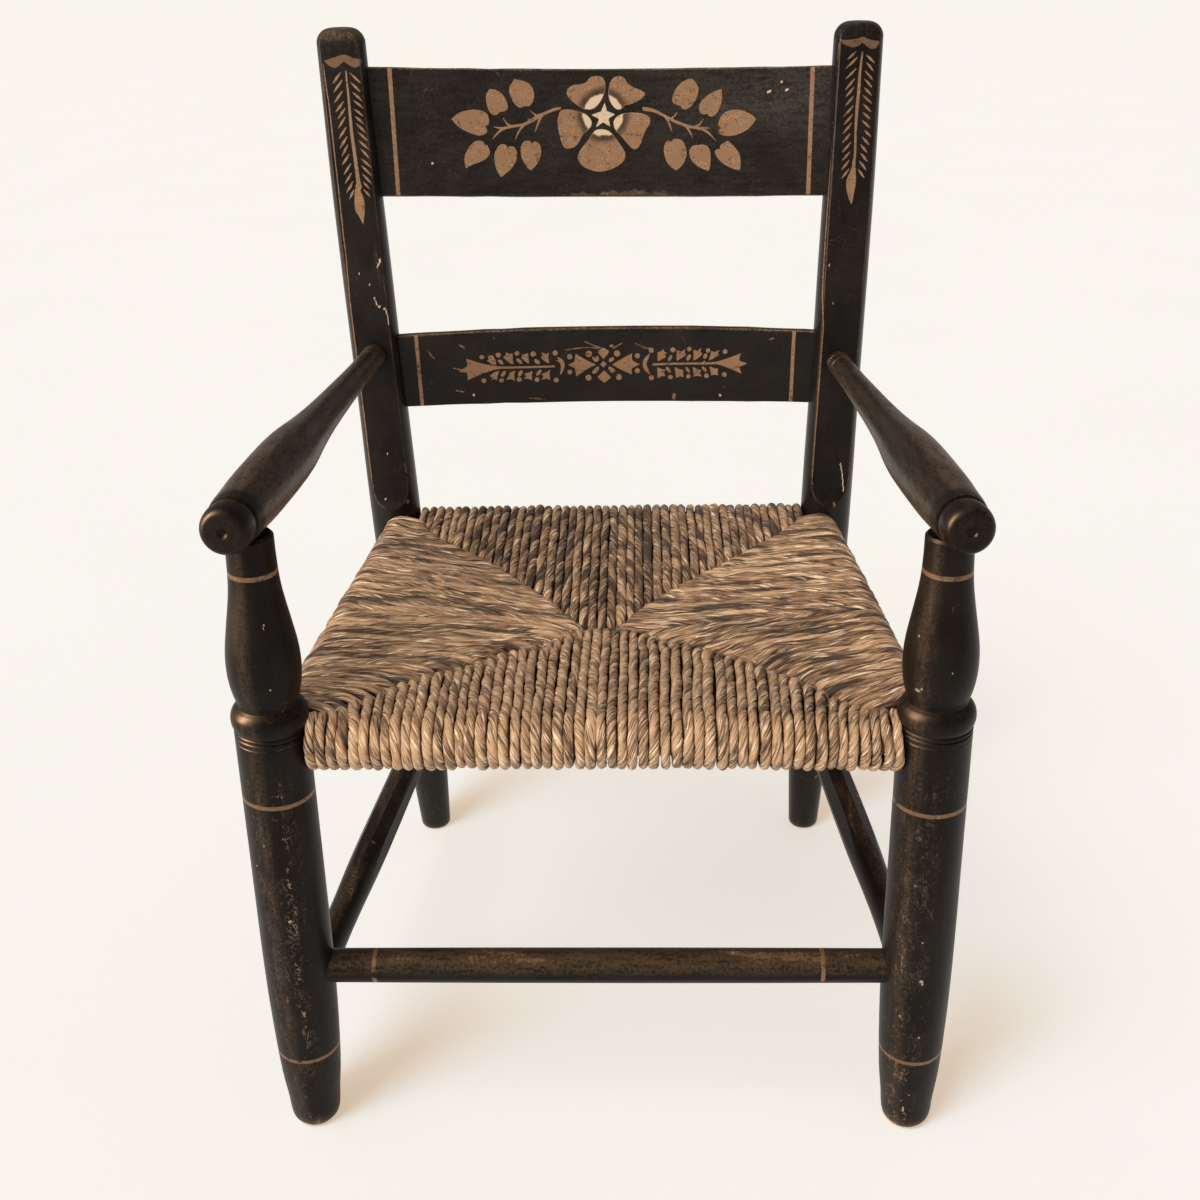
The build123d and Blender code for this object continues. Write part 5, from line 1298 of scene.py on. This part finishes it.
def build_rush(shaded_stuffing):
    mat = rush_material()
    # the front cords are made lighter, the rear ones darker and the left side a little darker than the right: painted
    # light and shade for how each panel catches the light
    groups = {"front": Cords(1.0, 0.24), "rear": Cords(0.85, -0.16), "left": Cords(0.62, -0.07),
              "right": Cords(0.62, -0.03)}
    x_axis, y_axis = np.array((1.0, 0, 0)), np.array((0, 1.0, 0))

    def twist(x, y):
        """Which way a cord is laid: it changes at the middle of the seat and from front to rear."""
        left = x < -3
        return (1 if left else -1) if y < APEX_Y else (-1 if left else 1)

    rng = np.random.default_rng(2024)
    places, sizes = spread(-167.2, 168.0, 55, rng, 0.11)
    for x, wide in zip(places, sizes):
        sgn = 1 if x > -3 else -1
        # the strands splay outwards a little on their way back
        splay = sgn * (2.9 * sstep(abs(x), 12, 45) * sstep(abs(x), 166, 142) + rng.uniform(-0.5, 0.5))
        ts = max(3.4, seam_y(x + splay)[0] + rng.uniform(-0.9, 0.9))
        tz, lz = seam_z(ts)
        lz -= 3.6 * sstep(ts, 22, 4)
        hang = 0.45 * rng.uniform(-1, 1) + 0.5 + 2.3 * sstep(x, 70, 160)
        p2 = section(RHO_F + rng.uniform(-0.45, 0.35), FRONT_Z, ts, tz + 0.5 + rng.uniform(-0.3, 0.5), lz, True, hang,
                     1.6 * min(1, ts / 130))
        p2, s = resample(p2, 2.3)
        n = len(p2)
        lat = 0.55 * soft_noise(n, rng, 8) + rng.uniform(-0.2, 0.2)
        lat = lat + splay * sstep(p2[:, 0], -8, max(14.0, ts)) * (p2[:, 1] > FRONT_Z - 2)
        if abs(x) > 24:
            lat = lat + sgn * rng.uniform(0.8, 4.6) * sstep(s, 11, 2)
        lean = sstep(x, 145, 168) * 2.4 - sstep(-x, 150, 168) * 0.8
        lat = lat + lean * sstep(-p2[:, 0], 2, 12) * sstep(p2[:, 1], FRONT_Z + 14, FRONT_Z - 8)
        path = np.stack([x + lat, Y0 + p2[:, 0], p2[:, 1] + 0.25 * soft_noise(n, rng, 8)], -1)
        groups["front"].add(path, x_axis, -twist(x, 0), rng, rng.uniform(24, 38), 1.00, 2.14, 2.76, 0.958 * wide)
    places, sizes = spread(-146.3, 146.3, 46, rng, 0.12)
    for x, wide in zip(places, sizes):
        ys = seam_y(x)[1] + rng.uniform(-0.7, 0.7)
        tz, lz = seam_z(ys)
        p2 = section(RHO_R + rng.uniform(-0.3, 0.3), REAR_Z, DEPTH - ys, tz, lz, False, 0.4, 1.8 * min(1, (DEPTH - ys) / 150))
        p2, s = resample(p2, 2.5)
        n = len(p2)
        lat = 0.50 * soft_noise(n, rng, 9) + rng.uniform(-0.2, 0.2)
        path = np.stack([x + lat, Y0 + DEPTH - p2[:, 0], p2[:, 1] + 0.25 * soft_noise(n, rng, 8)], -1)
        groups["rear"].add(path, x_axis, -twist(x, 300), rng, rng.uniform(28, 44), 1.00, 2.28, 2.92, 0.97 * wide)
    for side, word in ((-1, "left"), (1, "right")):
        places, sizes = spread(24.5, 311.0, 46, rng, 0.10)
        for y, wide in zip(places, sizes):
            f = y / DEPTH
            if side < 0:
                xr = -182.93 + f * (182.93 - 160.5)
            else:
                xr = 182.93 + f * (159.9 - 182.93)
            zr = 296.4 + f * (287.6 - 296.4)
            rear = y > APEX_Y
            # towards the front strands the cords swing forwards and dive under them
            swing = -8.5 * sstep(y, 150, 88)
            corner = -6.5 * sstep(y, 52, 24)
            y_end = y + swing + corner
            xs = seam_x(side, y_end) + rng.uniform(-0.8, 0.8)
            ts = abs(xr - xs)
            tz, lz = seam_z(y_end)
            p2 = section(RHO_S + rng.uniform(-0.25, 0.35), zr, ts, tz + (0.4 if rear else 0.0), lz, rear, 0.3,
                         1.5 * min(1, ts / 130))
            p2, s = resample(p2, 2.5)
            n = len(p2)
            lat = 0.40 * soft_noise(n, rng, 10) + rng.uniform(-0.25, 0.25)
            upper = p2[:, 1] > zr
            lat = lat + corner * sstep(p2[:, 0], 2, 15) * upper
            lat = lat + swing * sstep(s, min(56.0, ts + 6), 1) ** 1.6 * upper
            path = np.stack([xr - side * p2[:, 0], Y0 + y + lat, p2[:, 1] + 0.22 * soft_noise(n, rng, 8)], -1)
            groups[word].add(path, y_axis, side * twist(side * 50, y), rng, rng.uniform(75, 120), 0.66, 2.48, 2.98,
                             1.0 * wide)
    # a sheet of stuffing between the two layers, dark as painted shade, so that the gaps between the cords look into
    # shade
    nx, ny = 40, 36
    uu, vv = np.meshgrid(np.linspace(-1, 1, nx), np.linspace(17, 318, ny), indexing="ij")
    xx = uu * (171.0 - (171.0 - 150.0) * vv / DEPTH)
    top = np.maximum.reduce([FRONT_Z + RHO_F + (APEX_Z - FRONT_Z - RHO_F) * vv / APEX_Y,
                             REAR_Z + RHO_R - (REAR_Z + RHO_R - APEX_Z) * (DEPTH - vv) / (DEPTH - APEX_Y),
                             APEX_Z + (np.abs(xx) - 20) * 0.098, 0 * vv + APEX_Z])
    low = 282.9 - 0.0316 * vv
    mid = (top + low) / 2
    core_rng = np.random.default_rng(5)
    core_top = np.maximum(top - 5.8, mid + 0.6) + core_rng.uniform(-0.3, 0.3, top.shape)
    core_low = np.minimum(low + 4.4, mid - 0.6) + core_rng.uniform(-0.3, 0.3, top.shape)
    sheet_top = np.stack([xx, vv + Y0, core_top], -1).reshape(-1, 3)
    sheet_low = np.stack([xx, vv + Y0, core_low], -1).reshape(-1, 3)
    i, j = np.meshgrid(np.arange(nx - 1), np.arange(ny - 1), indexing="ij")
    q = np.stack([i * ny + j, (i + 1) * ny + j, (i + 1) * ny + j + 1, i * ny + j + 1], -1).reshape(-1, 4)
    n0 = nx * ny
    rim = ([k * ny for k in range(nx)] + [(nx - 1) * ny + k for k in range(1, ny)]
           + [k * ny + ny - 1 for k in range(nx - 2, -1, -1)] + [k for k in range(ny - 2, 0, -1)])
    rim = np.array(rim)
    nxt = np.roll(rim, -1)
    wall = np.stack([rim, rim + n0, nxt + n0, nxt], -1)
    core = make_mesh("rush_core", np.vstack([sheet_top, sheet_low]), [q, q[:, ::-1] + n0, wall], shaded_stuffing)
    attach(core, "root")
    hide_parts("rush_seat")
    for word, cords in groups.items():
        ob = cords.build("rush_" + word, mat)
        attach(ob, "root")
        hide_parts("rush_seat")


# ------------------------------------------------------------------ stage
def build_stage():
    scene = bpy.context.scene
    n = Net("floor_pale", Specular_IOR_Level=0.1, Emission_Strength=0.518, Emission_Color=(1.0, 0.784, 0.575, 1))
    g = n.noise(n.coord(), 3.0, 3, 0.5)
    floor_mat = n.done(n.mix(g, (0.80, 0.775, 0.745), (0.82, 0.795, 0.765)), 0.9)
    s = 60000.0
    floor = make_mesh("floor", np.array([(-s, -s, 0), (s, -s, 0), (s, s, 0), (-s, s, 0)]), [np.array([[0, 1, 2, 3]])],
                      floor_mat)
    # the side lights fall on the chair only, so that the floor stays even
    turned = bpy.data.collections.new("lit_turned")
    flat = bpy.data.collections.new("lit_flat")
    woven = bpy.data.collections.new("lit_rush")
    chair = bpy.data.collections.new("lit_chair")
    for o in scene.objects:
        if o.type == "MESH" and o is not floor:
            chair.objects.link(o)
            if o.name.startswith("rush"):
                woven.objects.link(o)
            elif "slat" in o.name or "post" in o.name:
                flat.objects.link(o)
            else:
                turned.objects.link(o)

    world = bpy.data.worlds.new("studio")
    scene.world = world
    world.use_nodes = True
    tree = world.node_tree
    bg = tree.nodes["Background"]
    bg.inputs[0].default_value = (1.0, 0.97, 0.93, 1)
    bg.inputs[1].default_value = 0.27
    # a pale wall behind, as bright as the floor, for views that look past the floor's far edge
    wall = tree.nodes.new("ShaderNodeBackground")
    wall.inputs[0].default_value = (0.955, 0.912, 0.850, 1)
    wall.inputs[1].default_value = 1.0
    seen = tree.nodes.new("ShaderNodeLightPath")
    both = tree.nodes.new("ShaderNodeMixShader")
    tree.links.new(seen.outputs["Is Camera Ray"], both.inputs[0])
    tree.links.new(bg.outputs[0], both.inputs[1])
    tree.links.new(wall.outputs[0], both.inputs[2])
    tree.links.new(both.outputs[0], tree.nodes["World Output"].inputs["Surface"])

    def sun(name, strength, angle, direction, colour, lit=None, shades=None):
        d = bpy.data.lights.new(name, "SUN")
        d.energy = strength
        d.angle = math.radians(angle)
        d.color = colour
        o = bpy.data.objects.new(name, d)
        o.rotation_euler = Vector(direction).to_track_quat("-Z", "Y").to_euler()
        scene.collection.objects.link(o)
        if lit:
            o.light_linking.receiver_collection = lit
            o.light_linking.blocker_collection = shades or lit
        return o

    def area(name, power, size, place, aim, colour, lit):
        d = bpy.data.lights.new(name, "AREA")
        d.energy = power
        d.shape = "RECTANGLE"
        d.size, d.size_y = size
        d.color = colour
        o = bpy.data.objects.new(name, d)
        o.location = place
        o.rotation_euler = (Vector(aim) - Vector(place)).to_track_quat("-Z", "Y").to_euler()
        scene.collection.objects.link(o)
        o.light_linking.receiver_collection = lit
        return o

    ground = bpy.data.collections.new("lit_floor")
    ground.objects.link(floor)
    feet = bpy.data.collections.new("shading_feet")
    for o in scene.objects:
        if o.type == "MESH" and (o.name.startswith("front_leg") or "post" in o.name):
            feet.objects.link(o)
    sun("key", 0.72, 34, (0.62, 0.55, -1.25), (1.0, 0.93, 0.84), chair)
    # the floor has its own light, so that the shadow stays soft and warm
    sun("key_on_floor", 0.62, 34, (0.62, 0.55, -1.25), (0.80, 0.92, 1.0), ground, chair)
    sun("foot_shadows", 1.15, 15, (0.64, 0.70, -2.2), (0.413, 0.736, 1.0), ground, feet)
    sun("key_on_rush", 1.55, 9, (0.66, 0.80, -1.05), (1.0, 0.93, 0.84), woven)
    # long soft boxes to the left: a warm one for the highlights on the turnings, and paler ones
    gleam = area("left_soft", 1800.0, (1.1, 3.2), (-3.9, -1.1, 2.3), (0, 0, 0.35), (1.0, 0.68, 0.42), turned)
    gleam.visible_diffuse = False
    area("left_flat", 150.0, (1.6, 2.6), (-3.0, -2.4, 2.0), (0, 0, 0.45), (1.0, 0.88, 0.76), flat)
    area("left_pale", 66.0, (1.2, 2.4), (-1.6, -3.0, 1.7), (0, 0, 0.30), (1.0, 0.88, 0.74), woven)

    cam = bpy.data.cameras.new("camera")
    cam.sensor_fit = "HORIZONTAL"
    cam.sensor_width = 36.0
    cam.lens = 1425.0 / 1200.0 * 36.0
    cam.clip_start, cam.clip_end = 0.02, 400.0
    o = bpy.data.objects.new("camera", cam)
    pitch, roll, yaw = 0.4629188667999, -0.020269560514023913, -0.031210275215451968
    f = Vector((math.sin(yaw) * math.cos(pitch), math.cos(yaw) * math.cos(pitch), -math.sin(pitch)))
    r = Vector((math.cos(yaw), -math.sin(yaw), 0))
    u = r.cross(f)
    r2 = math.cos(roll) * r + math.sin(roll) * u
    u2 = -math.sin(roll) * r + math.cos(roll) * u
    m = Matrix((r2, u2, -f)).transposed().to_4x4()
    m.translation = (0.0226311, -0.8879823, 0.7341149)
    o.matrix_world = m
    scene.collection.objects.link(o)
    scene.camera = o
    scene.view_settings.view_transform = "Standard"
    scene.view_settings.look = "None"


shaded_stuffing = paint_cad()
build_slats()
post("rear_post_left_stenciled", "rear_post_left", -1, 648.0, POST_LEFT_SHAPES)
post("rear_post_right_stenciled", "rear_post_right", 1, 646.4, POST_RIGHT_SHAPES)
peg_heads()
build_rush(shaded_stuffing)
build_stage()

bpy.context.view_layer.update()
